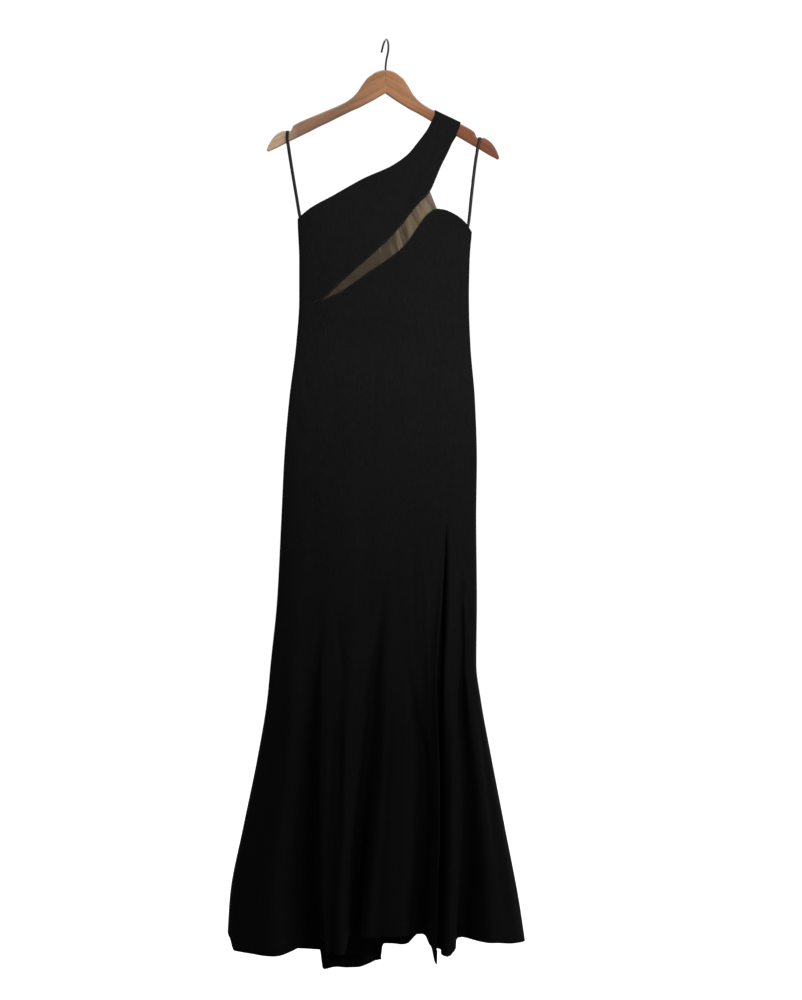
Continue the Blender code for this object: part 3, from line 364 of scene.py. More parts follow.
def smooth_read(stations, values, at):
    """Values on the smooth curve through the stations, which doesn't overshoot."""
    x, y = np.asarray(stations, float), np.asarray(values, float)
    at = np.clip(np.asarray(at, float), x[0], x[-1])
    slope = np.diff(y) / np.diff(x)
    tangent = np.concatenate(([slope[0]], np.zeros(len(slope) - 1), [slope[-1]]))
    before, after = slope[:-1], slope[1:]
    same = before * after > 0
    both = np.where(same, before + after, 1.0)
    tangent[1:-1] = np.where(same, 2 * before * after / both, 0.0)
    k = np.clip(np.searchsorted(x, at, side="right") - 1, 0, len(slope) - 1)
    width = x[k + 1] - x[k]
    t = (at - x[k]) / width
    start = (1 + 2 * t) * (1 - t) ** 2 * y[k] + t * (1 - t) ** 2 * width * tangent[k]
    end = t * t * (3 - 2 * t) * y[k + 1] + t * t * (t - 1) * width * tangent[k + 1]
    return start + end


def ease(t):
    t = np.clip(t, 0.0, 1.0)
    return t * t * (3 - 2 * t)


def section_at(z):
    downwards = [-row[0] for row in SECTIONS]
    return [smooth_read(downwards, [row[i] for row in SECTIONS], -z) for i in range(1, 5)]


def roundness(share, z):
    """Part of the full depth at a share of the width. A strap above the armhole stays flat."""
    middle = 2 * share - 1
    middle = np.where(middle > 0, middle * ease((-z - 270.0) / 95.0), middle)
    return np.sqrt(np.clip(1 - middle**2, 0.0, None))


def depth_at(x, z, side):
    """Y of the plain body at places seen from the front. The side is -1 for front, 1 for back."""
    left, right, front, back = section_at(z)
    share = np.clip((x - left) / (right - left), 0.0, 1.0)
    return side * (front if side < 0 else back) * roundness(share, z)


Columns = namedtuple("Columns", "shares push drop start names")


def columns_of(lines, fine=6):
    """The lines with fine columns between: shares run straight, folds are soft waves."""
    shares, push, drop, start, names = [], [], [], [], []
    for here, following in zip(lines, lines[1:]):
        count = here.steps * fine
        for step in range(count):
            t = step / count
            soft = (1 - math.cos(math.pi * t)) / 2
            shares.append([a + (b - a) * t for a, b in zip(here.shares, following.shares)])
            push.append(here.push + (following.push - here.push) * soft)
            drop.append(here.drop + (following.drop - here.drop) * soft)
            start.append(here.start + (following.start - here.start) * soft)
            names.append(here.name if step == 0 else "")
    last = lines[-1]
    shares.append(list(last.shares))
    return Columns(
        np.array(shares),
        np.array(push + [last.push]),
        np.array(drop + [last.drop]),
        np.array(start + [last.start]),
        names + [last.name],
    )


def part_of(columns, first, last):
    numbers = [getattr(columns, field)[first : last + 1] for field in Columns._fields[:4]]
    return Columns(*numbers, columns.names[first : last + 1])


def shares_at(columns, z):
    """Share of the width for each column, where z has a row of heights for every column."""
    heights = [-height for height in SHARE_HEIGHTS]
    found = np.empty_like(z)
    for c in range(z.shape[1]):
        found[:, c] = smooth_read(heights, columns.shares[c], -z[:, c])
    return found


def body_points(columns, z, side):
    """Points of the body where z has nominal heights, rows down and columns across."""
    left, right, front, back = section_at(z)
    share = shares_at(columns, z)
    grown = np.clip((columns.start - z) / (columns.start - HEM), 0.0, None) ** 1.35
    lowered = np.clip((KNEE - z) / (KNEE - HEM), 0.0, None) ** 2 * (columns.drop - HEM)
    depth = (front if side < 0 else back) * roundness(share, z) + grown * columns.push
    return np.stack([left + share * (right - left), side * depth, z + lowered], axis=-1)


def body_grid(columns, edge, side, above=56, below=260):
    """Points from an upper edge down to the hem."""
    x, z_edge = zip(*edge)
    tops = np.full(len(columns.push), -420.0)
    for _ in range(12):
        tops = smooth_read(x, z_edge, body_points(columns, tops[None, :], side)[0, :, 0])
    t = np.linspace(0.0, 1.0, above, endpoint=False)[:, None]
    upper = tops[None, :] + (WAIST - tops[None, :]) * t
    lower = np.repeat(np.linspace(WAIST, HEM, below)[:, None], len(tops), axis=1)
    return body_points(columns, np.vstack([upper, lower]), side)


def along(edge, share):
    """Points at shares of an edge's length, as arrays of x and z."""
    x, z = np.array(edge).T
    places = np.concatenate(([0.0], np.cumsum(np.hypot(np.diff(x), np.diff(z)))))
    at = np.asarray(share) * places[-1]
    return smooth_read(places, x, at), smooth_read(places, z, at)


def run_of(points):
    """Distance along a line at each of its points."""
    return np.concatenate(([0.0], np.cumsum(np.linalg.norm(np.diff(points, axis=0), axis=-1))))


def normals_of(grid):
    """Unit vectors out of the cloth. Rows run down, columns to the right of one who looks at it."""
    down = np.gradient(grid, axis=0)
    across = np.gradient(grid, axis=1)
    normal = np.cross(down, across)
    return normal / np.maximum(np.linalg.norm(normal, axis=-1, keepdims=True), 1e-9)


def soft_noise(x, z, cell_x, cell_z, seed):
    """Smooth noise from -1 to 1 whose cells have a width and a height."""
    table = np.random.RandomState(seed).uniform(-1.0, 1.0, (64, 64))
    u, v = x / cell_x + 1000.0, z / cell_z + 1000.0
    i, j = np.floor(u).astype(int), np.floor(v).astype(int)
    s, t = ease(u - i), ease(v - j)
    a, b = table[i % 64, j % 64], table[(i + 1) % 64, j % 64]
    c, d = table[i % 64, (j + 1) % 64], table[(i + 1) % 64, (j + 1) % 64]
    return (a * (1 - s) + b * s) * (1 - t) + (c * (1 - s) + d * s) * t


def crease_depth(grid, creases):
    """How far the creases pull the cloth in at each point of a grid."""
    x, z = grid[..., 0], grid[..., 2]
    depth = np.zeros_like(x)
    for number, crease in enumerate(creases):
        path_x, path_z = np.array(crease.path, float).T
        middle = smooth_read(-path_z, path_x, -z)
        middle = middle + 2.0 * soft_noise(z, z * 0, 70.0, 1.0, 40 + number)
        t = (path_z[0] - z) / (path_z[0] - path_z[-1])
        reaches_hem = path_z[-1] < -1640
        strength = ease(t / 0.3) * (1.0 if reaches_hem else ease((1 - t) / 0.25))
        strength = np.where((t > 0) & ((t < 1) | reaches_hem), strength, 0.0)
        widened = crease.width * (0.7 + 0.5 * np.clip(t, 0, 1))
        depth += crease.depth * strength * np.exp(-(((x - middle) / widened) ** 2))
    return depth


def relaxed(grid, creases, seed):
    """The grid with creases, and with the slight unevenness of cloth that hangs."""
    x, z = grid[..., 0], grid[..., 2]
    low = np.clip((-z - 600.0) / 700.0, 0.0, 1.0)
    uneven = (0.5 + 1.3 * low) * soft_noise(x, z, 34.0, 260.0, seed)
    uneven += (0.25 + 0.5 * low) * soft_noise(x, z, 15.0, 120.0, seed + 1)
    uneven += 0.12 * soft_noise(x + 0.5 * z, z - 0.5 * x, 60.0, 22.0, seed + 2) * (1 - low)
    depth = crease_depth(grid, creases) + uneven
    left, right, _, _ = section_at(z)
    share = np.clip((x - left) / (right - left), 0.0, 1.0)
    near_side = ease(np.minimum(share, 1 - share) / 0.05)
    return grid - normals_of(grid) * (depth * near_side)[..., None]


def grown(grid):
    """The grid with a row or column just outside each edge, so that seams let no light through."""
    for _ in range(2):
        first, last = grid[:1] - grid[1:2], grid[-1:] - grid[-2:-1]
        first, last = (
            SEAM_OVERLAP * v / np.maximum(np.linalg.norm(v, axis=-1, keepdims=True), 1e-9)
            for v in (first, last)
        )
        grid = turned(np.concatenate([grid[:1] + first, grid, grid[-1:] + last]))
    return grid


def edge_samples(turn):
    """Places over a turned edge: distance from the edge and depth inside, from the inner end."""
    r = EDGE_RADIUS
    inner = [(turn, 2 * r), (turn * 0.6, 2 * r), (turn * 0.25, 2 * r)]
    bend = [(r, 2 * r), (0.29 * r, 1.71 * r), (0.0, r), (0.29 * r, 0.29 * r), (r, 0.0)]
    return inner + bend + [(2.2, 0.0), (4.5, 0.0)]


def samples_across(length, spacing, turn_start, turn_end):
    """Places along a line of cloth and depths inside, with both ends turned in."""
    count = max(2, round((length - 9.0) / spacing))
    middle = [(4.5 + (length - 9.0) * i / count, 0.0) for i in range(1, count)]
    start = edge_samples(turn_start)
    end = [(length - d, e) for d, e in reversed(edge_samples(turn_end))]
    places, depths = zip(*(start + middle + end))
    return np.array(places), np.array(depths)


def resampled(grid, spacing, turn_start, turn_end):
    """Columns of the grid at even places along its rows, with both ends turned in."""
    lengths = np.linalg.norm(np.diff(grid[..., :3], axis=1), axis=-1)
    places = np.concatenate([np.zeros((len(grid), 1)), np.cumsum(lengths, axis=1)], axis=1)
    typical = float(np.mean(places[:, -1]))
    at, depth = samples_across(typical, spacing, turn_start, turn_end)
    found = np.empty((len(grid), len(at), grid.shape[2]))
    for r in range(len(grid)):
        row_at = at.copy()
        full = places[r, -1]
        near_end = at > typical / 2
        inside = (at > 4.5) & (at < typical - 4.5)
        row_at[near_end] += full - typical
        row_at[inside] = 4.5 + (at[inside] - 4.5) * (full - 9.0) / (typical - 9.0)
        row_at = np.clip(row_at, 0.0, full)
        for k in range(grid.shape[2]):
            found[r, :, k] = np.interp(row_at, places[r], grid[r, :, k])
    return found, depth, at


def turned(array):
    return np.swapaxes(array, 0, 1)


Turns = namedtuple("Turns", "left right top bottom")


def cloth_shell(name, grid, turns, spacing=(3.4, 6.0)):
    """Piece of crepe with turned edges, from its outer surface in millimetres."""
    grid = grown(grid)
    data = np.concatenate([grid, normals_of(grid)], axis=-1)
    data, depth_u, place_u = resampled(data, spacing[0], turns.left, turns.right)
    data, depth_v, place_v = resampled(turned(data), spacing[1], turns.top, turns.bottom)
    data = turned(data)
    normal = data[..., 3:]
    normal = normal / np.maximum(np.linalg.norm(normal, axis=-1, keepdims=True), 1e-9)
    depth = depth_u[None, :] + depth_v[:, None]
    points = data[..., :3] - normal * depth[..., None]
    crepe = made_of("black stretch crepe")
    return grid_mesh(name, points, (place_u, place_v), sizes().crepe_thickness, crepe)


def grid_mesh(name, points, places, thickness, finish):
    """Object from a grid of points in millimetres, with a UV map in metres of cloth."""
    rows, columns = points.shape[:2]
    index = np.arange(rows * columns).reshape(rows, columns)
    faces = np.stack([index[:-1, :-1], index[1:, :-1], index[1:, 1:], index[:-1, 1:]], axis=-1)
    faces = faces.reshape(-1, 4)
    mesh = bpy.data.meshes.new(name)
    mesh.from_pydata((points.reshape(-1, 3) * MM).tolist(), [], faces.tolist())
    u = np.broadcast_to(places[0][None, :], (rows, columns)).reshape(-1)
    v = np.broadcast_to(-places[1][:, None], (rows, columns)).reshape(-1)
    uv = mesh.uv_layers.new(name="cloth")
    corners = faces.reshape(-1)
    uv.data.foreach_set("uv", np.stack([u[corners], v[corners]], axis=-1).reshape(-1) * MM)
    mesh.shade_smooth()
    mesh.materials.append(finish)
    piece = linked(name, mesh)
    shell = piece.modifiers.new("thickness", "SOLIDIFY")
    shell.thickness = thickness
    shell.offset = -1.0
    return piece


def linked(name, data):
    """A new object in the scene."""
    thing = bpy.data.objects.new(name, data)
    bpy.context.scene.collection.objects.link(thing)
    return thing


def lit_group(name):
    """The pieces that a lamp shines on, as a studio's flags would have it."""
    return bpy.data.collections.get(name) or bpy.data.collections.new(name)


def place_on_body(piece, slot, *nodes):
    """Makes a piece ride on the gown, join the lamps' group that its slot calls for and stand for its
    solids.
    """
    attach(piece, BODY)
    lit_group("lit hanger" if slot in ("wood", "wire", "mesh") else "lit cloth").objects.link(piece)
    if nodes:
        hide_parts(*nodes)


def rgba(colour):
    """Linear colour with alpha, from a hex value or a colour that a user can change."""
    return linear(colour) if isinstance(colour, str) else tuple(colour) + (1.0,)


def first_output(source):
    """The first output of a node, or the output itself."""
    return source.outputs[0] if hasattr(source, "outputs") else source


def add_node(tree, kind, settings=None, links=None):
    """Adds a node. Settings are socket, property or ramp values, links are what joins its inputs."""
    node = tree.nodes.new(kind)
    for key, value in (settings or {}).items():
        if key == "stops":
            band = node.color_ramp
            while len(band.elements) < len(value):
                band.elements.new(0.5)
            for element, (place, colour) in zip(band.elements, value):
                element.position = place
                element.color = rgba(colour)
        elif isinstance(key, str) and hasattr(node, key) and key not in node.inputs:
            setattr(node, key, value)
        else:
            node.inputs[key].default_value = value
    for key, source in (links or {}).items():
        tree.links.new(first_output(source), node.inputs[key])
    return node


def start_material(name, on_cloth=False):
    """A new material, the function that adds to it, and the coordinates that its patterns read."""
    material = bpy.data.materials.new(name)
    material.use_nodes = True
    add = partial(add_node, material.node_tree)
    if on_cloth:
        return material, add, add("ShaderNodeUVMap", {"uv_map": "cloth"})
    return material, add, add("ShaderNodeTexCoord").outputs["Object"]


def finished(material, colour=None, rough=None, bump=None, alpha=None, **constants):
    """Joins the shader. Rough is a pattern and its range, bump a pattern, its strength and depth."""
    add = partial(add_node, material.node_tree)
    shader = material.node_tree.nodes["Principled BSDF"]
    joined = {"Base Color": colour, "Alpha": alpha}
    if rough:
        spread = {"To Min": rough[1], "To Max": rough[2]}
        joined["Roughness"] = add("ShaderNodeMapRange", spread, {"Value": rough[0]})
    if bump:
        joined["Normal"] = add(
            "ShaderNodeBump", {"Strength": bump[1], "Distance": bump[2]}, {"Height": bump[0]}
        )
    for key, source in joined.items():
        if source is not None:
            material.node_tree.links.new(first_output(source), shader.inputs[key])
    for key, value in constants.items():
        shader.inputs[key.replace("_", " ")].default_value = value
    return material


def crepe_material(name, colours):
    """Polyester stretch crepe: high-twist yarn gives a matt pebbled face and a faint soft sheen."""
    material, add, where = start_material(name)
    # The real pebble is about 0.7 mm across. It is drawn at 1.6 mm so that it shows.
    pebbled = {"Scale": 620.0, "Detail": 2.0, "Roughness": 0.6}
    pebble = add("ShaderNodeTexNoise", pebbled, {"Vector": where})
    drawn = add("ShaderNodeMapping", {"Scale": (1.0, 1.0, 0.25)}, {"Vector": where})
    yarn = add("ShaderNodeTexNoise", {"Scale": 300.0, "Detail": 1.0}, {"Vector": drawn})
    wear = add("ShaderNodeTexNoise", {"Scale": 9.0, "Detail": 2.0}, {"Vector": where})
    mixed = add("ShaderNodeMix", {"Factor": 0.35}, {"A": pebble, "B": yarn})
    tint = add("ShaderNodeMix", {"Factor": 0.15}, {"A": mixed, "B": wear})
    stops = [(0.32, colours.crepe_dark), (0.66, colours.crepe)]
    worn = add("ShaderNodeValToRGB", {"stops": stops}, {0: tint})
    # Painted shade: the crepe is drawn a deeper black down the skirt than on the bodice, as the light
    # falls off towards the hem.
    height = add("ShaderNodeSeparateXYZ", links={0: where})
    skirt = {"From Min": -0.6, "From Max": -1.3, "To Min": 0.0, "To Max": 0.75}
    painted_skirt_shade = add("ShaderNodeMapRange", skirt, {"Value": height.outputs["Z"]})
    painted_skirt_shade_mix = {"data_type": "RGBA", 7: rgba(colours.crepe_painted_shade)}
    colour = add("ShaderNodeMix", painted_skirt_shade_mix, {0: painted_skirt_shade, 6: worn}).outputs[2]
    return finished(
        material, colour, (mixed, 0.72, 0.9), (mixed, 0.35, 0.0004), Specular_IOR_Level=0.002,
        Sheen_Weight=0.003, Sheen_Roughness=0.4, Sheen_Tint=linear("#B9BCC8"),
    )


def mesh_material(name, colours):
    """Nylon power mesh: fine net of taupe yarn, through which what lies behind shows darker."""
    material, add, where = start_material(name, on_cloth=True)
    # The real net has diamond holes of about 0.5 mm. They are drawn at 1.5 mm so that they show.
    lay = add("ShaderNodeMapping", {"Rotation": (0.0, 0.0, math.radians(45.0))}, {"Vector": where})
    rows = [
        add("ShaderNodeTexWave", {"bands_direction": way, "Scale": 209.0}, {"Vector": lay}).outputs["Fac"]
        for way in "XY"
    ]
    net = add("ShaderNodeMath", {"operation": "MAXIMUM"}, {0: rows[0], 1: rows[1]})
    covered = {"From Min": 0.45, "From Max": 0.85, "To Min": 0.72, "To Max": 0.99}
    yarn = add("ShaderNodeMapRange", covered, {"Value": net})
    stretched = add("ShaderNodeMapping", {"Scale": (60.0, 9.0, 1.0)}, {"Vector": where})
    streak = add("ShaderNodeTexNoise", {"Scale": 1.0, "Detail": 2.0}, {"Vector": stretched})
    # Painted light: the net is drawn palest towards the armhole, where the light falls strongest, and
    # darker in its point.
    reach = add("ShaderNodeSeparateXYZ", links={0: add("ShaderNodeTexCoord").outputs["Object"]})
    painted_light_range = {"From Min": -0.1, "From Max": 0.1, "To Min": 0.0, "To Max": 0.55}
    painted_light_share = add("ShaderNodeMapRange", painted_light_range, {"Value": reach.outputs["X"]})
    tone = add("ShaderNodeMath", {"operation": "ADD"}, {0: streak, 1: painted_light_share})
    stops = [(0.4, colours.mesh_dark), (0.8, colours.mesh), (1.0, colours.mesh_painted_light)]
    colour = add("ShaderNodeValToRGB", {"stops": stops}, {0: tone})
    return finished(
        material, colour, bump=(yarn, 0.4, 0.0003), alpha=yarn, Roughness=0.7, Specular_IOR_Level=0.08
    )


def ribbon_material(name, colours):
    """Polyester satin ribbon: long floats give a band of soft gloss, the edges are woven tight."""
    material, add, where = start_material(name, on_cloth=True)
    stretched = add("ShaderNodeMapping", {"Scale": (2500.0, 90.0, 1.0)}, {"Vector": where})
    floats = add("ShaderNodeTexNoise", {"Scale": 1.0, "Detail": 1.0}, {"Vector": stretched})
    stops = [(0.3, "#050505"), (0.7, colours.ribbon)]
    colour = add("ShaderNodeValToRGB", {"stops": stops}, {0: floats})
    return finished(material, colour, (floats, 0.3, 0.5), (floats, 0.3, 0.0002), Specular_IOR_Level=0.06)


def wood_material(name, colours):
    """Varnished lotus wood: sawn and sanded, grain runs along the arm under a glossy clear coat."""
    material, add, where = start_material(name)
    slope = (-1 if name.endswith("left") else 1) * ARM_SLOPE + WOOD_TILT
    lay = add("ShaderNodeMapping", {"Rotation": (0.0, -slope, 0.0)}, {"Vector": where})
    long = add("ShaderNodeMapping", {"Scale": (7.0, 60.0, 90.0)}, {"Vector": lay})
    figured = {"Scale": 1.0, "Detail": 4.0, "Roughness": 0.55, "Distortion": 0.6}
    figure = add("ShaderNodeTexNoise", figured, {"Vector": long})
    # Pores are about 0.3 mm wide and several millimetres long.
    thin = add("ShaderNodeMapping", {"Scale": (110.0, 1400.0, 1400.0)}, {"Vector": lay})
    pores = add("ShaderNodeTexNoise", {"Scale": 1.0, "Detail": 2.0}, {"Vector": thin})
    mixed = add("ShaderNodeMix", {"Factor": 0.3}, {"A": figure, "B": pores})
    # The colour runs from a painted highlight at the left tip, over greyer brown on the left arm and
    # orange-brown at the centre, to red-brown on the right arm.
    reach = add("ShaderNodeSeparateXYZ", links={0: where})
    span = {"From Min": -0.22, "From Max": 0.22}
    place = add("ShaderNodeMapRange", span, {"Value": reach.outputs["X"]})
    stops = [
        (0.04, colours.wood_tip), (0.13, colours.wood_left), (0.31, colours.wood_left),
        (0.48, colours.wood), (0.6, colours.wood), (0.82, colours.wood_right),
    ]
    colour_along_and_tip_highlight = add("ShaderNodeValToRGB", {"stops": stops}, {0: place})
    grain = add("ShaderNodeValToRGB", {"stops": [(0.3, "#C4BCB4"), (0.62, "#FFFFFF")]}, {0: mixed})
    over = {"data_type": "RGBA", "blend_type": "MULTIPLY", 0: 1.0}
    grain_colour_and_tip_highlight = add("ShaderNodeMix", over, {6: colour_along_and_tip_highlight, 7: grain}).outputs[2]
    # Painted shade: the rounded top and bottom edges, which turn away from the front and back, are drawn
    # darker.
    facing = add("ShaderNodeSeparateXYZ", links={0: add("ShaderNodeTexCoord").outputs["Normal"]})
    flatness = add("ShaderNodeMath", {"operation": "ABSOLUTE"}, {0: facing.outputs["Y"]})
    painted_edge_shade_range = {"From Min": 0.25, "From Max": 0.8, "To Min": 0.75, "To Max": 0.0}
    edge = add("ShaderNodeMapRange", painted_edge_shade_range, {"Value": flatness})
    painted_edge_shade_mix = {"data_type": "RGBA", 7: rgba(colours.wood_edge)}
    colour = add("ShaderNodeMix", painted_edge_shade_mix, {0: edge, 6: grain_colour_and_tip_highlight}).outputs[2]
    return finished(
        material, colour, (pores, 0.32, 0.48), (mixed, 0.25, 0.0003),
        Coat_Weight=0.12, Coat_Roughness=0.2, Specular_IOR_Level=0.12,
    )


def steel_material(name, colours):
    """Nickel-plated steel wire: drawn, then plated, with faint draw lines and a few dull spots."""
    material, add, where = start_material(name)
    fine = add("ShaderNodeTexNoise", {"Scale": 900.0, "Detail": 2.0}, {"Vector": where})
    dull = add("ShaderNodeTexNoise", {"Scale": 120.0, "Detail": 3.0}, {"Vector": where})
    colour = add("ShaderNodeValToRGB", {"stops": [(0.35, "#302E2D"), (0.6, colours.steel)]}, {0: dull})
    return finished(material, colour, (dull, 0.34, 0.5), (fine, 0.15, 0.0001), Metallic=1.0)


def zip_material(name, colours):
    """Lacquered zinc casting: black enamel, worn a little grey where fingers hold it."""
    material, add, where = start_material(name)
    wear = add("ShaderNodeTexNoise", {"Scale": 500.0, "Detail": 3.0}, {"Vector": where})
    colour = add("ShaderNodeValToRGB", {"stops": [(0.5, colours.zip_black), (0.8, "#111113")]}, {0: wear})
    return finished(material, colour, (wear, 0.35, 0.5), (wear, 0.1, 0.0001), Specular_IOR_Level=0.12)


def coil_material(name, colours):
    """Nylon monofilament coil, extruded: smooth black plastic with a narrow gloss."""
    material, add, where = start_material(name)
    drawn = add("ShaderNodeTexNoise", {"Scale": 1500.0, "Detail": 1.0}, {"Vector": where})
    colour = add("ShaderNodeValToRGB", {"stops": [(0.3, "#0B0B0C"), (0.7, "#1A1A1C")]}, {0: drawn})
    return finished(material, colour, (drawn, 0.28, 0.42))


def thread_material(name, colours):
    """Spun polyester sewing thread: matt, twisted from fine fibres."""
    material, add, where = start_material(name)
    twist = add("ShaderNodeTexNoise", {"Scale": 2500.0, "Detail": 1.0}, {"Vector": where})
    colour = add("ShaderNodeValToRGB", {"stops": [(0.3, "#0A0A0B"), (0.7, "#1B1B1D")]}, {0: twist})
    return finished(material, colour, Roughness=0.8, Specular_IOR_Level=0.2)


MAKERS = {
    "black stretch crepe": crepe_material, "taupe power mesh": mesh_material,
    "black satin ribbon": ribbon_material, "nickel plated wire": steel_material,
    "varnished lotus wood left": wood_material, "varnished lotus wood right": wood_material,
    "black lacquered zinc": zip_material, "black nylon coil": coil_material,
    "black sewing thread": thread_material,
}


def made_of(name):
    """The material of a name, made when it is first asked for."""
    return bpy.data.materials.get(name) or MAKERS[name](name, bpy.context.scene.gown_colours)


def inset_line(grid, edge, distance, lift=0.0):
    """Points on the cloth along one of its edges, at a distance inside it, in millimetres."""
    data = np.concatenate([grid, normals_of(grid)], axis=-1)
    if edge in ("left", "right"):
        data = turned(data)
    if edge in ("right", "bottom"):
        data = data[::-1]
    steps = np.linalg.norm(np.diff(data[:, :, :3], axis=0), axis=-1)
    places = np.concatenate([np.zeros((1, data.shape[1])), np.cumsum(steps, axis=0)])
    found = np.empty((data.shape[1], 6))
    for c in range(data.shape[1]):
        for k in range(6):
            found[c, k] = np.interp(distance, places[:, c], data[:, c, k])
    return found[:, :3] + found[:, 3:] * lift


def repeat_tree():
    """Node tree that sets small rounded pieces along lines, each turned to follow its line."""
    tree = bpy.data.node_groups.new("pieces along a line", "GeometryNodeTree")
    add = partial(add_node, tree)
    for name, kind, default in (
        ("Geometry", "Geometry", None), ("Pitch", "Float", 0.003), ("Length", "Float", 0.002),
        ("Width", "Float", 0.0004), ("Height", "Float", 0.0004), ("Unevenness", "Float", None),
        ("Seed", "Int", None), ("Material", "Material", None),
    ):
        socket = tree.interface.new_socket(name, in_out="INPUT", socket_type="NodeSocket" + kind)
        if default is not None:
            socket.default_value = default
    tree.interface.new_socket("Geometry", in_out="OUTPUT", socket_type="NodeSocketGeometry")
    given = add("NodeGroupInput").outputs
    curve = add("GeometryNodeMeshToCurve", links={0: given["Geometry"]})
    spaced = {"Curve": curve, "Length": given["Pitch"]}
    points = add("GeometryNodeResampleCurve", {"mode": "LENGTH"}, spaced)
    ball = add("GeometryNodeMeshUVSphere", {"Segments": 6, "Rings": 4, "Radius": 0.5})
    shape = add("ShaderNodeCombineXYZ", links={0: given["Length"], 1: given["Width"], 2: given["Height"]})
    piece = add("GeometryNodeTransform", links={"Geometry": ball, "Scale": shape})
    tangent = add("GeometryNodeInputTangent")
    turn = add("FunctionNodeAlignRotationToVector", {"axis": "X"}, {"Vector": tangent})
    low, high = (
        add("ShaderNodeMath", {"operation": way, 0: 1.0}, {1: given["Unevenness"]})
        for way in ("SUBTRACT", "ADD")
    )
    size = add("FunctionNodeRandomValue", links={2: low, 3: high, "Seed": given["Seed"]}).outputs[1]
    where = {"Points": points, "Instance": piece, "Rotation": turn, "Scale": size}
    placed = add("GeometryNodeInstanceOnPoints", links=where)
    real = add("GeometryNodeRealizeInstances", links={0: placed})
    coloured = add("GeometryNodeSetMaterial", links={"Geometry": real, "Material": given["Material"]})
    add("NodeGroupOutput", links={0: coloured})
    return tree


def pieces_along(name, routes, finish, seed, pitch, size, unevenness=0.12):
    """One mesh of small rounded pieces along routes in millimetres. Pitch and size are in metres."""
    points, edges = [], []
    for route in routes:
        first = len(points)
        points += (np.asarray(route) * MM).tolist()
        edges += [(i, i + 1) for i in range(first, len(points) - 1)]
    mesh = bpy.data.meshes.new(name)
    mesh.from_pydata(points, edges, [])
    guide = linked(name + "_guide", mesh)
    modifier = guide.modifiers.new("pieces", "NODES")
    modifier.node_group = bpy.data.node_groups.get("pieces along a line") or repeat_tree()
    values = dict(zip(("Length", "Width", "Height"), size))
    values.update({"Pitch": pitch, "Unevenness": unevenness, "Seed": seed, "Material": finish})
    for item in modifier.node_group.interface.items_tree:
        if item.in_out == "INPUT" and item.name in values:
            modifier[item.identifier] = values[item.name]
    made = bpy.data.meshes.new_from_object(guide.evaluated_get(bpy.context.evaluated_depsgraph_get()))
    bpy.data.objects.remove(guide)
    made.name = name
    made.shade_smooth()
    return linked(name, made)


def bodice_grid():
    """Upper bodice from the left side seam to the strap, over the hanger to the shoulder seam."""
    chain = (BODICE_SIDE_END,) + INSERT_UPPER[:-1] + FRONT_ARMHOLE
    share = np.linspace(0.0, 1.0, 150)
    top_x, top_z = along(NECKLINE, share)
    low_x, low_z = along(chain, share)
    t = np.linspace(0.0, 1.0, 60)[:, None]
    x = top_x + (low_x - top_x) * t
    z = top_z + (low_z - top_z) * t
    length = np.sum(np.hypot(*np.diff(np.array(chain), axis=0).T))
    first = math.hypot(chain[1][0] - chain[0][0], chain[1][1] - chain[0][1])
    seam_x = NECKLINE[0][0] + (BODICE_SIDE_END[0] - NECKLINE[0][0]) * t
    x = x + (section_at(z)[0] - seam_x) * np.clip(1 - share * length / first, 0.0, None)
    front = np.stack([x, depth_at(x, z, -1), z], axis=-1)
    front = relaxed(front, ALL_FRONT_CREASES, 21)
    over = over_the_wood(front[:, -1, 0], 1, np.radians(np.arange(0.0, 181.0, 9.0)), CLOTH_WALL)
    over[..., 0] += STRAP_LEAN * t * (over[..., 2] - over[:, :1, 2])
    down = over[:, -1:] + np.array([0.0, 0.0, -SHOULDER_SEAM_DROP])
    blend = np.linspace(0.0, 1.0, 8)[:, None, None]
    eased = front[:, -8:] + blend.swapaxes(0, 1) * (over[:, :1] - front[:, -1:]) * 0.5
    front[:, -8:] = eased
    return np.concatenate([front, over[:, 1:], down], axis=1)


def wood_point(reach, height, side):
    """Place on the tilted hanger, as x and z."""
    x, z = side * np.asarray(reach, float), np.asarray(height, float)
    turned_x = x * math.cos(WOOD_TILT) + z * math.sin(WOOD_TILT)
    turned_z = -x * math.sin(WOOD_TILT) + z * math.cos(WOOD_TILT)
    return turned_x, turned_z - WOOD_CENTRE_DROP


def wood_top(x, side):
    reach, top, _ = np.array(ARM).T
    line_x, line_z = wood_point(reach, top, side)
    order = np.argsort(line_x)
    return np.interp(x, line_x[order], line_z[order])


def over_the_wood(x, side, angles, thickness):
    """Rows of points that lie over the rounded top of the wood, 0.3 mm clear of it."""
    clear = CLEAR + thickness
    radius = WOOD_HALF_THICKNESS + clear
    height = WOOD_HALF_THICKNESS + clear / math.cos(ARM_SLOPE)
    middle = (wood_top(x, side) - WOOD_HALF_THICKNESS)[:, None]
    y = -radius * np.cos(angles)[None, :] + 0 * middle
    z = middle + height * np.sin(angles)[None, :]
    return np.stack([x[:, None] + 0 * z, y, z], axis=-1)


def length_property(name, description, default, low, high):
    return bpy.props.FloatProperty(
        name=name, description=description, default=default, min=low, max=high, unit="LENGTH"
    )


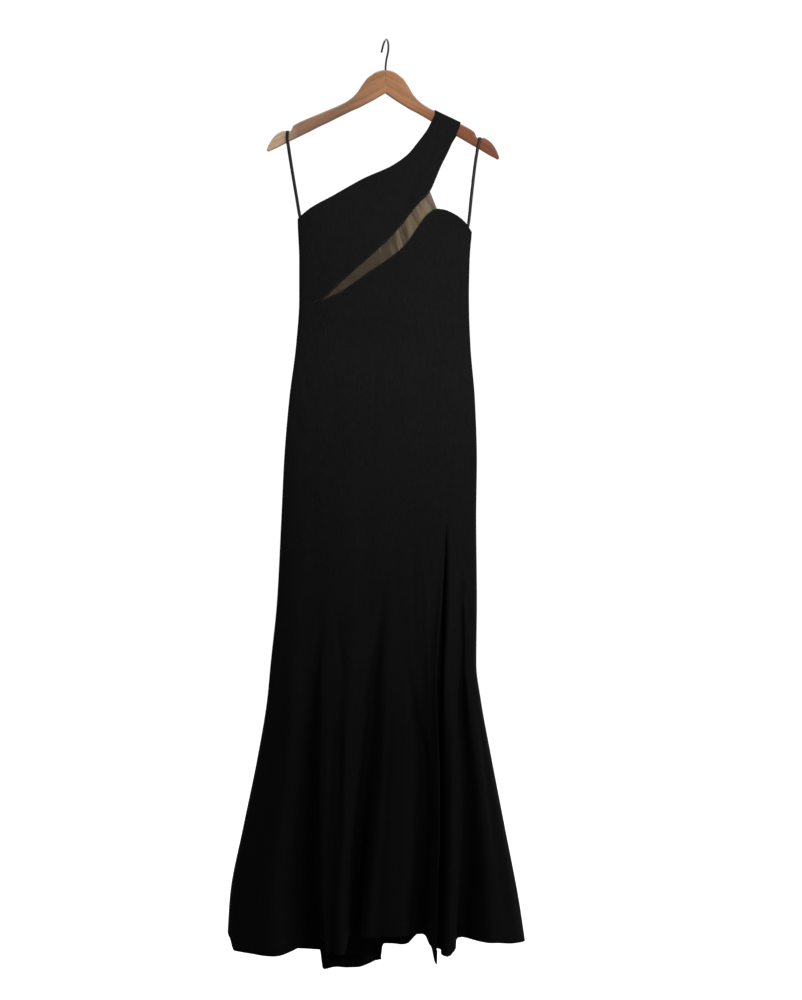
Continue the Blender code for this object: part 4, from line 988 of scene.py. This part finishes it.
class GownSizes(bpy.types.PropertyGroup):
    """Sizes that a user of the gown may change."""

    crepe_thickness: length_property("Crepe thickness", "Thickness of the crepe", 0.0005, 0.0002, 0.0006)
    mesh_thickness: length_property("Mesh thickness", "Thickness of the insert", 0.0003, 0.0001, 0.0005)
    hem_turn: length_property("Hem turn", "Width of the cloth turned up at the hem", 0.022, 0.005, 0.04)
    seam_allowance: length_property("Seam allowance", "Cloth turned in at a seam", 0.009, 0.004, 0.015)
    ribbon_width: length_property("Ribbon width", "Width of the hanger loops", 0.006, 0.003, 0.01)
    stitch_pitch: length_property("Stitch pitch", "From one stitch to the next", 0.003, 0.0015, 0.006)
    stitch_length: length_property("Stitch length", "Thread that shows in a stitch", 0.0022, 0.001, 0.005)
    thread: length_property("Thread", "Diameter of the sewing thread", 0.0004, 0.0002, 0.0008)


def colour_property(name, description, hex_colour):
    return bpy.props.FloatVectorProperty(
        name=name, description=description, subtype="COLOR", size=3, min=0.0, max=1.0,
        default=linear(hex_colour)[:3],
    )


class GownColours(bpy.types.PropertyGroup):
    """Colours that a user of the gown may change."""

    crepe: colour_property("Crepe", "Lighter tone of the crepe", "#0A0A0B")
    crepe_dark: colour_property("Crepe shade", "Darker tone of the crepe", "#060605")
    # Painted shade: the tone that the crepe is drawn in down the skirt.
    crepe_painted_shade: colour_property("Crepe, painted shade down the skirt", "Tone of the crepe down the skirt", "#020202")
    mesh: colour_property("Mesh", "Middle tone of the sheer insert", "#3A3227")
    mesh_dark: colour_property("Mesh shade", "Darker tone of the sheer insert", "#31271F")
    # Painted light: the tone that the insert is drawn in towards the armhole.
    mesh_painted_light: colour_property("Mesh, painted light at the armhole", "Tone of the sheer insert at the armhole", "#605342")
    ribbon: colour_property("Ribbon", "Tone of the hanger loops", "#0B0B0B")
    wood: colour_property("Wood", "Stain at the centre of the hanger", "#906646")
    wood_left: colour_property("Wood, left", "Stain of the left arm", "#765844")
    wood_right: colour_property("Wood, right", "Stain of the right arm", "#71402B")
    # Painted highlight: the pale tone of the left arm's tip.
    wood_tip: colour_property("Wood, left tip", "Painted highlight at the left arm's tip", "#A78E77")
    # Painted shade: the tone of the wood's rounded edges.
    wood_edge: colour_property("Wood edges", "Stain on the rounded edges of the wood", "#432A1C")
    steel: colour_property("Wire", "Tone of the plated wire", "#3D3B3A")
    zip_black: colour_property("Zip", "Lacquer of the slider and pull", "#060607")
    floor: colour_property("Floor", "Tone of the studio floor", "#FBFBFB")


def sizes():
    return bpy.context.scene.gown_sizes


def mm(value):
    return value / MM


class GOWN_OT_stage(bpy.types.Operator):
    """Makes the pale floor, the soft studio light and the camera"""

    bl_idname = "gown.stage"
    bl_label = "Stage"

    def execute(self, context):
        mesh = bpy.data.meshes.new("studio_floor")
        level = CAD_BOX[0].z - FLOOR_DROP
        mesh.from_pydata([(x, y, level) for x, y in FLOOR_CORNERS], [], [(0, 1, 2, 3)])
        paint = bpy.data.materials.new("white studio floor")
        paint.use_nodes = True
        tone = rgba(context.scene.gown_colours.floor)
        mesh.materials.append(finished(paint, Base_Color=tone, Roughness=0.9, Specular_IOR_Level=0.1))
        linked("studio_floor", mesh)
        self.lights(context)
        self.camera(context)
        context.scene.view_settings.view_transform = "Standard"
        return {"FINISHED"}

    def lights(self, context):
        context.scene.world = bpy.data.worlds.new("studio")
        context.scene.world.use_nodes = True
        background = context.scene.world.node_tree.nodes["Background"]
        background.inputs["Color"].default_value = (1.0, 1.0, 1.0, 1.0)
        background.inputs["Strength"].default_value = SKY_STRENGTH
        for name, lit, place, aim, size, power in LAMPS:
            light = bpy.data.lights.new(name, "AREA")
            light.size = size
            light.energy = power
            lamp = linked(name, light)
            lamp.location = place
            lamp.rotation_euler = (Vector(aim) - Vector(place)).to_track_quat("-Z", "Y").to_euler()
            if lit:
                lamp.light_linking.receiver_collection = lit_group(lit)

    def camera(self, context):
        camera = bpy.data.cameras.new("camera")
        camera.sensor_width = 36.0
        camera.lens = CAMERA_LENS
        camera.clip_end = 200.0
        viewer = linked("camera", camera)
        viewer.location = CAMERA_PLACE
        viewer.rotation_euler = (math.radians(90.0), 0.0, 0.0)
        context.scene.camera = viewer


class GOWN_OT_bodice(bpy.types.Operator):
    """Makes the upper bodice with the strap that goes over the hanger"""

    bl_idname = "gown.bodice"
    bl_label = "Bodice and strap"

    def execute(self, context):
        turn = mm(sizes().seam_allowance)
        piece = cloth_shell("bodice_front_cloth", bodice_grid(), Turns(turn, turn, turn, turn), (3.4, 3.4))
        place_on_body(piece, "crepe", "bodice_front")
        return {"FINISHED"}


class GOWN_OT_insert(bpy.types.Operator):
    """Makes the sheer insert, whose edges lie under the crepe"""

    bl_idname = "gown.insert"
    bl_label = "Sheer insert"

    def execute(self, context):
        share = np.linspace(0.0, 1.0, 110)
        x_low = INSERT_START + (INSERT_END - INSERT_START) * share
        z_low = smooth_read(*zip(*FRONT_TOP), x_low)
        up_x, up_z = zip(*INSERT_UPPER)
        x_up = up_x[0] + (up_x[-1] - up_x[0]) * share
        z_up = smooth_read(up_x, up_z, x_up)
        rows = np.linspace(-0.12, 1.12, 28)[:, None]
        x = x_up + (x_low - x_up) * rows
        z = z_up + (z_low - z_up) * rows + np.where(rows < 0, 3.0, 0.0) - np.where(rows > 1, 3.0, 0.0)
        grid = np.stack([x, depth_at(x, z, -1), z], axis=-1)
        lift = 0.5 * soft_noise(x + z, x - z, 16.0, 60.0, 5) - 1.5
        grid = grid + normals_of(grid) * lift[..., None]
        places = run_of(grid[len(grid) // 2]), np.linspace(0.0, 40.0, len(grid))
        net = made_of("taupe power mesh")
        piece = grid_mesh("mesh_insert_net", grid, places, sizes().mesh_thickness, net)
        place_on_body(piece, "mesh", "mesh_insert")
        return {"FINISHED"}


def front_grids():
    """Left side panel, centre panel and right side panel of the front."""
    columns = columns_of(FRONT_LINES)
    seam = columns.names.index("left princess")
    over, under = ALL_FRONT_CREASES + SLIT_EDGE_CREASES, ALL_FRONT_CREASES + SLIT_UNDER_CREASES
    whole = relaxed(body_grid(columns, FRONT_TOP, -1), over, 21)
    side = relaxed(body_grid(columns_of(SIDE_LINES), FRONT_TOP, -1), under, 21)
    return whole[:, : seam + 1], whole[:, seam:], side


class GOWN_OT_front(bpy.types.Operator):
    """Makes the centre panel and both side panels of the front"""

    bl_idname = "gown.front"
    bl_label = "Front panels"

    def execute(self, context):
        turn, hem = mm(sizes().seam_allowance), mm(sizes().hem_turn)
        for grid, (name, node, flat, area, loop) in zip(front_grids(), FRONT_PANELS):
            piece = cloth_shell(name, grid, Turns(turn, turn, turn, hem))
            place_on_body(piece, "crepe", node)
        return {"FINISHED"}


def back_grids():
    """Left and right back panels, each seen from behind."""
    columns = columns_of(BACK_LINES)
    seam = columns.names.index("centre back")
    left = body_grid(part_of(columns, 0, seam), NECKLINE, 1)
    right = back_right_grid(part_of(columns, seam, len(columns.push) - 1))
    return [relaxed(grid[:, ::-1], BACK_CREASES, 51) for grid in (left, right)]


class GOWN_OT_back(bpy.types.Operator):
    """Makes both back panels, the right one with the back of the strap"""

    bl_idname = "gown.back"
    bl_label = "Back panels"

    def execute(self, context):
        turn, hem = mm(sizes().seam_allowance), mm(sizes().hem_turn)
        for grid, (name, node, flat, area, rests) in zip(back_grids(), BACK_PANELS):
            piece = cloth_shell(name, grid, Turns(turn, turn, turn, hem))
            place_on_body(piece, "crepe", node)
        return {"FINISHED"}


def back_right_grid(columns):
    """Rows from the shoulder seam down to the hem."""
    lower_z = np.repeat(np.linspace(WAIST, HEM, 260)[:, None], len(columns.push), axis=1)
    lower = body_points(columns, lower_z, 1)
    rows = [(lower[0, 0, 0], WAIST, lower[0, -1, 0], WAIST)]
    for inner_x, inner_z, outer_x, outer_z in BACK_ROWS:
        level = np.zeros((1, len(columns.push)))
        if inner_x is None:
            inner_x = body_points(columns, level + inner_z, 1)[0, 0, 0]
        if outer_x is None:
            outer_x = body_points(columns, level + outer_z, 1)[0, -1, 0]
        rows.append((inner_x, inner_z, outer_x, outer_z))
    rows = np.array(rows)
    station = np.arange(len(rows), dtype=float)
    at = np.linspace(len(rows) - 1, 0, 150, endpoint=False)
    inner_x, inner_z, outer_x, outer_z = (smooth_read(station, rows[:, k], at) for k in range(4))
    z = np.repeat(inner_z[:, None], len(columns.push), axis=1)
    share = shares_at(columns, z)
    t = (share - share[:, :1]) / (1 - share[:, :1])
    x = inner_x[:, None] + (outer_x - inner_x)[:, None] * t
    z = inner_z[:, None] + (outer_z - inner_z)[:, None] * t
    upper = np.stack([x, depth_at(x, z, 1), z], axis=-1)
    t = (columns.shares[:, 1] - columns.shares[0, 1]) / (1 - columns.shares[0, 1])
    # The shoulder seam goes from the neckline's top to the armhole's.
    x = NECKLINE[-1][0] + (FRONT_ARMHOLE[-1][0] - NECKLINE[-1][0]) * t
    z = wood_top(x, 1) - WOOD_HALF_THICKNESS - SHOULDER_SEAM_DROP
    top = np.stack([x, x * 0 + WOOD_HALF_THICKNESS + CLEAR + CLOTH_WALL, z], axis=-1)
    steps = np.linspace(0.0, 1.0, 5)[:, None, None]
    joined = top[None] + (upper[:1] - top[None]) * steps
    return np.concatenate([joined[:-1], upper, lower], axis=0)


class GOWN_OT_loops(bpy.types.Operator):
    """Makes the two ribbon loops that hang in the hanger's notches"""

    bl_idname = "gown.loops"
    bl_label = "Hanger loops"

    def execute(self, context):
        width = mm(sizes().ribbon_width)
        across = np.linspace(-0.5, 0.5, 7)
        for name, strands, side, node in (
            ("loop_left_ribbon", LEFT_STRANDS, -1, "hanger_loop_left"),
            ("loop_right_ribbon", RIGHT_STRANDS, 1, "hanger_loop_right"),
        ):
            route = self.route(strands, side)
            grid = route[:, None, :] + across[None, :, None] * np.array([width, 0.0, 0.0])
            bow = 0.35 * np.cos(np.pi * across)
            grid = grid + normals_of(grid) * bow[None, :, None]
            places = across * width, run_of(route)
            piece = grid_mesh(name, grid, places, RIBBON_THICKNESS, made_of("black satin ribbon"))
            place_on_body(piece, "ribbon", node)
        return {"FINISHED"}

    def route(self, strands, side):
        """Middle of the ribbon: up in front of the arm, over the notch, down behind it."""
        top = next(row[1] for row in ARM if row[0] == NOTCH_REACH)
        notch = float(wood_point(NOTCH_REACH + 2.0, top, side)[0])
        strands = np.array(strands)
        station = np.arange(len(strands), dtype=float)
        at = np.linspace(0.0, station[-1], 60)
        strand = np.stack([smooth_read(station, values, at) for values in strands.T], axis=-1)
        under = wood_top(np.array([notch - 3.0, notch - 1.2, notch + 1.2, notch + 3.0]), side)
        over = over_the_wood(np.array([notch]), side, np.radians(np.arange(0.0, 181.0, 12.0)), 1.0)[0]
        over = over + np.array([0.0, 0.0, under.max() - under.min()])
        front = strand * np.array([1.0, -1.0, 1.0])
        return np.concatenate([front, over, strand[::-1]], axis=0)[::-1]


def tube_mesh(name, rings, finish, turned_round):
    """Object from rings of points in millimetres, closed at both ends, with faces outwards."""
    rows, count = rings.shape[:2]
    faces = [tuple(reversed(range(count))), tuple((rows - 1) * count + i for i in range(count))]
    for r in range(rows - 1):
        for i in range(count):
            a, b = r * count + i, r * count + (i + 1) % count
            faces.append((a, b, b + count, a + count))
    if turned_round:
        faces = [tuple(reversed(face)) for face in faces]
    mesh = bpy.data.meshes.new(name)
    mesh.from_pydata((rings.reshape(-1, 3) * MM).tolist(), [], faces)
    mesh.shade_smooth()
    mesh.materials.append(finish)
    return linked(name, mesh)


class GOWN_OT_hanger(bpy.types.Operator):
    """Makes the two halves of the wooden hanger"""

    bl_idname = "gown.hanger"
    bl_label = "Wooden hanger"

    def execute(self, context):
        for way, side in (("left", -1), ("right", 1)):
            wood = made_of(f"varnished lotus wood {way}")
            piece = tube_mesh(f"hanger_{way}_wood", self.rings(side), wood, side < 0)
            piece.data.set_sharp_from_angle(angle=math.radians(40))
            place_on_body(piece, "wood", f"hanger_{way}")
        return {"FINISHED"}

    def rings(self, side):
        """Rings of points round one arm's outline."""
        reach, top, bottom = np.array(ARM).T
        places = np.concatenate(([0.0], np.cumsum(np.hypot(np.diff(reach), np.diff(top)))))
        at = np.linspace(0.0, places[-1], 170)
        reach = np.interp(at, places, reach)
        top, bottom = smooth_read(places, top, at), smooth_read(places, bottom, at)
        reach[0] = JOINT_GAP
        half_height, middle = (top - bottom) / 2, (top + bottom) / 2
        round_height = np.minimum(half_height, WOOD_HALF_THICKNESS)
        angle = np.linspace(0.0, math.pi, 14)
        rings = []
        for half in (1, -1):
            y = -half * WOOD_HALF_THICKNESS * np.cos(angle)[None, :] + 0 * reach[:, None]
            z = middle[:, None] + half * (
                (half_height - round_height)[:, None] + round_height[:, None] * np.sin(angle)[None, :]
            )
            x, z = wood_point(np.repeat(reach[:, None], len(angle), axis=1), z, side)
            rings.append(np.stack([x, y, z], axis=-1))
        return self.rounded_end(np.concatenate(rings, axis=1))

    def rounded_end(self, rings):
        """Draws the last rings together towards their middle, so that the tip is round."""
        count = 6
        for i in range(count):
            t = (i + 1) / count
            r = len(rings) - count + i
            middle = rings[r].mean(axis=0)
            keep = math.sqrt(1 - 0.75 * t * t)
            rings[r] = middle + (rings[r] - middle) * np.array([keep, keep, 0.5 + 0.5 * keep])
        return rings


class GOWN_OT_hook(bpy.types.Operator):
    """Makes the wire hook of the hanger"""

    bl_idname = "gown.hook"
    bl_label = "Hook"

    def execute(self, context):
        rings = self.rings(self.route())
        piece = tube_mesh("hook_wire", rings, made_of("nickel plated wire"), True)
        place_on_body(piece, "wire", "hook")
        return {"FINISHED"}

    def route(self):
        """Centre line of the wire, in millimetres."""
        centre = WIRE_RADIUS - CROOK_RADIUS
        turns = np.radians(np.linspace(CROOK_TIP, CROOK_END, 70))
        flare = (np.degrees(turns) - TIP_FLARE_START) / (CROOK_TIP - TIP_FLARE_START)
        out = list(CROOK_RADIUS * np.cos(turns) - TIP_FLARE * np.clip(flare, 0.0, None) ** 2)
        up = list(centre + CROOK_RADIUS * np.sin(turns))
        turn = math.radians(-CROOK_END)
        bend_radius = out[-1] / (1 - math.cos(turn))
        bend_end = up[-1] - bend_radius * math.sin(turn)
        for angle in turn * (1 - np.linspace(0.0, 1.0, 24)[1:]):
            out.append(bend_radius * (1 - math.cos(angle)))
            up.append(bend_end + bend_radius * math.sin(angle))
        end = ARM[0][1] - WOOD_CENTRE_DROP - STEM_DEPTH
        for z in np.linspace(up[-1], end, 8)[1:]:
            out.append(0.0)
            up.append(z)
        out, up = np.array(out), np.array(up)
        return np.stack([out * math.cos(HOOK_TURN), out * math.sin(HOOK_TURN), up], axis=-1)

    def rings(self, route):
        """Rings of points round the wire, with a round tip."""
        tangent = np.gradient(route, axis=0)
        tangent /= np.linalg.norm(tangent, axis=1, keepdims=True)
        flat = np.array([-math.sin(HOOK_TURN), math.cos(HOOK_TURN), 0.0])
        other = np.cross(tangent, flat)
        angle = np.linspace(0.0, 2 * math.pi, 20, endpoint=False)[:, None]
        rings = [(route[0] - tangent[0] * back, radius, other[0]) for back, radius in TIP_ROUNDING]
        rings += [(point, WIRE_RADIUS, side) for point, side in zip(route, other)]
        return np.array([
            point + radius * (np.cos(angle) * flat + np.sin(angle) * side) for point, radius, side in rings
        ])


class GOWN_OT_stitches(bpy.types.Operator):
    """Sews the edges of the insert, the strap's shoulder seam front and back, and the hem"""

    bl_idname = "gown.stitches"
    bl_label = "Stitches"

    def execute(self, context):
        bodice, (left, centre, right), backs = bodice_grid(), front_grids(), back_grids()
        size, thread = sizes(), made_of("black sewing thread")
        lift = 0.35 * mm(size.thread)
        edges = ((bodice[:, 10:125], "bottom"), (centre, "top"), (bodice, "right"), (backs[1], "top"))
        rows = [inset_line(grid, edge, 2.0, lift) for grid, edge in edges]
        shown = (size.stitch_length, size.thread, size.thread)
        seams = pieces_along("edge_stitches", rows, thread, 3, size.stitch_pitch, shown)
        place_on_body(seams, "crepe")
        turn = mm(size.hem_turn) - 1.0
        hems = [inset_line(grid, "bottom", turn, lift) for grid in (left, centre, right, *backs)]
        prick = (0.0009, size.thread, size.thread)
        pricks = pieces_along("hem_pricks", hems, thread, 4, 0.008, prick, 0.3)
        place_on_body(pricks, "crepe")
        return {"FINISHED"}


class GOWN_OT_zip(bpy.types.Operator):
    """Gives the slider and pull their finish, and makes the zip's coil and tapes"""

    bl_idname = "gown.zip"
    bl_label = "Zip"

    def execute(self, context):
        lacquer = made_of("black lacquered zinc")
        for node in ("zip_slider", "zip_pull"):
            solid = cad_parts[node]
            if not solid.material_slots:
                solid.data.materials.append(lacquer)
            for slot in solid.material_slots:
                slot.material = lacquer
            lit_group("lit cloth").objects.link(solid)
        self.coil()
        return {"FINISHED"}

    def coil(self):
        """Two rows of coil, which mesh in the seam, and the woven tapes that carry them."""
        edge = back_grids()[0][:, 0]
        z = np.arange(ZIP_TOP, ZIP_END, -2.0)
        order = np.argsort(edge[:, 2])
        x, y = (np.interp(z, edge[order, 2], edge[order, k]) for k in (0, 1))
        for way, side in (("left", -1), ("right", 1)):
            shift = 0.3 if side > 0 else 0.0
            route = np.stack([x + side * 0.35, y - 1.5, z - shift], axis=-1)
            nylon = made_of("black nylon coil")
            coil = pieces_along(f"zip_coil_{way}", [route], nylon, 5, COIL_PITCH, COIL_TURN, 0.02)
            place_on_body(coil, "zip_metal")
            across = np.array(TAPE_REACH)[::side] * side
            depth = (y - 2.4)[:, None] - 0.02 * np.abs(across)
            grid = np.stack([x[:, None] + across, depth, z[:, None] + 0 * across], axis=-1)
            ribbon = made_of("black satin ribbon")
            tape = grid_mesh(f"zip_tape_{way}", grid[:, ::-1], (across, -z), TAPE_THICKNESS, ribbon)
            place_on_body(tape, "ribbon")


STEPS = (
    GOWN_OT_stage, GOWN_OT_loops, GOWN_OT_bodice, GOWN_OT_insert, GOWN_OT_front, GOWN_OT_back,
    GOWN_OT_stitches, GOWN_OT_zip, GOWN_OT_hanger, GOWN_OT_hook,
)


class GOWN_PT_panel(bpy.types.Panel):
    """Lists the gown's sizes, colours and steps"""

    bl_idname = "GOWN_PT_panel"
    bl_label = "Gown"
    bl_space_type = "VIEW_3D"
    bl_region_type = "UI"
    bl_category = "Gown"

    def draw(self, context):
        for group in (context.scene.gown_sizes, context.scene.gown_colours):
            for name in group.__annotations__:
                self.layout.prop(group, name)
        for step in STEPS:
            self.layout.operator(step.bl_idname)


CLASSES = (GownSizes, GownColours) + STEPS + (GOWN_PT_panel,)


def register():
    for each in CLASSES:
        bpy.utils.register_class(each)
    bpy.types.Scene.gown_sizes = bpy.props.PointerProperty(type=GownSizes)
    bpy.types.Scene.gown_colours = bpy.props.PointerProperty(type=GownColours)


def unregister():
    del bpy.types.Scene.gown_sizes
    del bpy.types.Scene.gown_colours
    for each in reversed(CLASSES):
        bpy.utils.unregister_class(each)


def main():
    register()
    for step in STEPS:
        getattr(bpy.ops.gown, step.bl_idname.split(".")[1])()


if __name__ == "__main__":
    main()
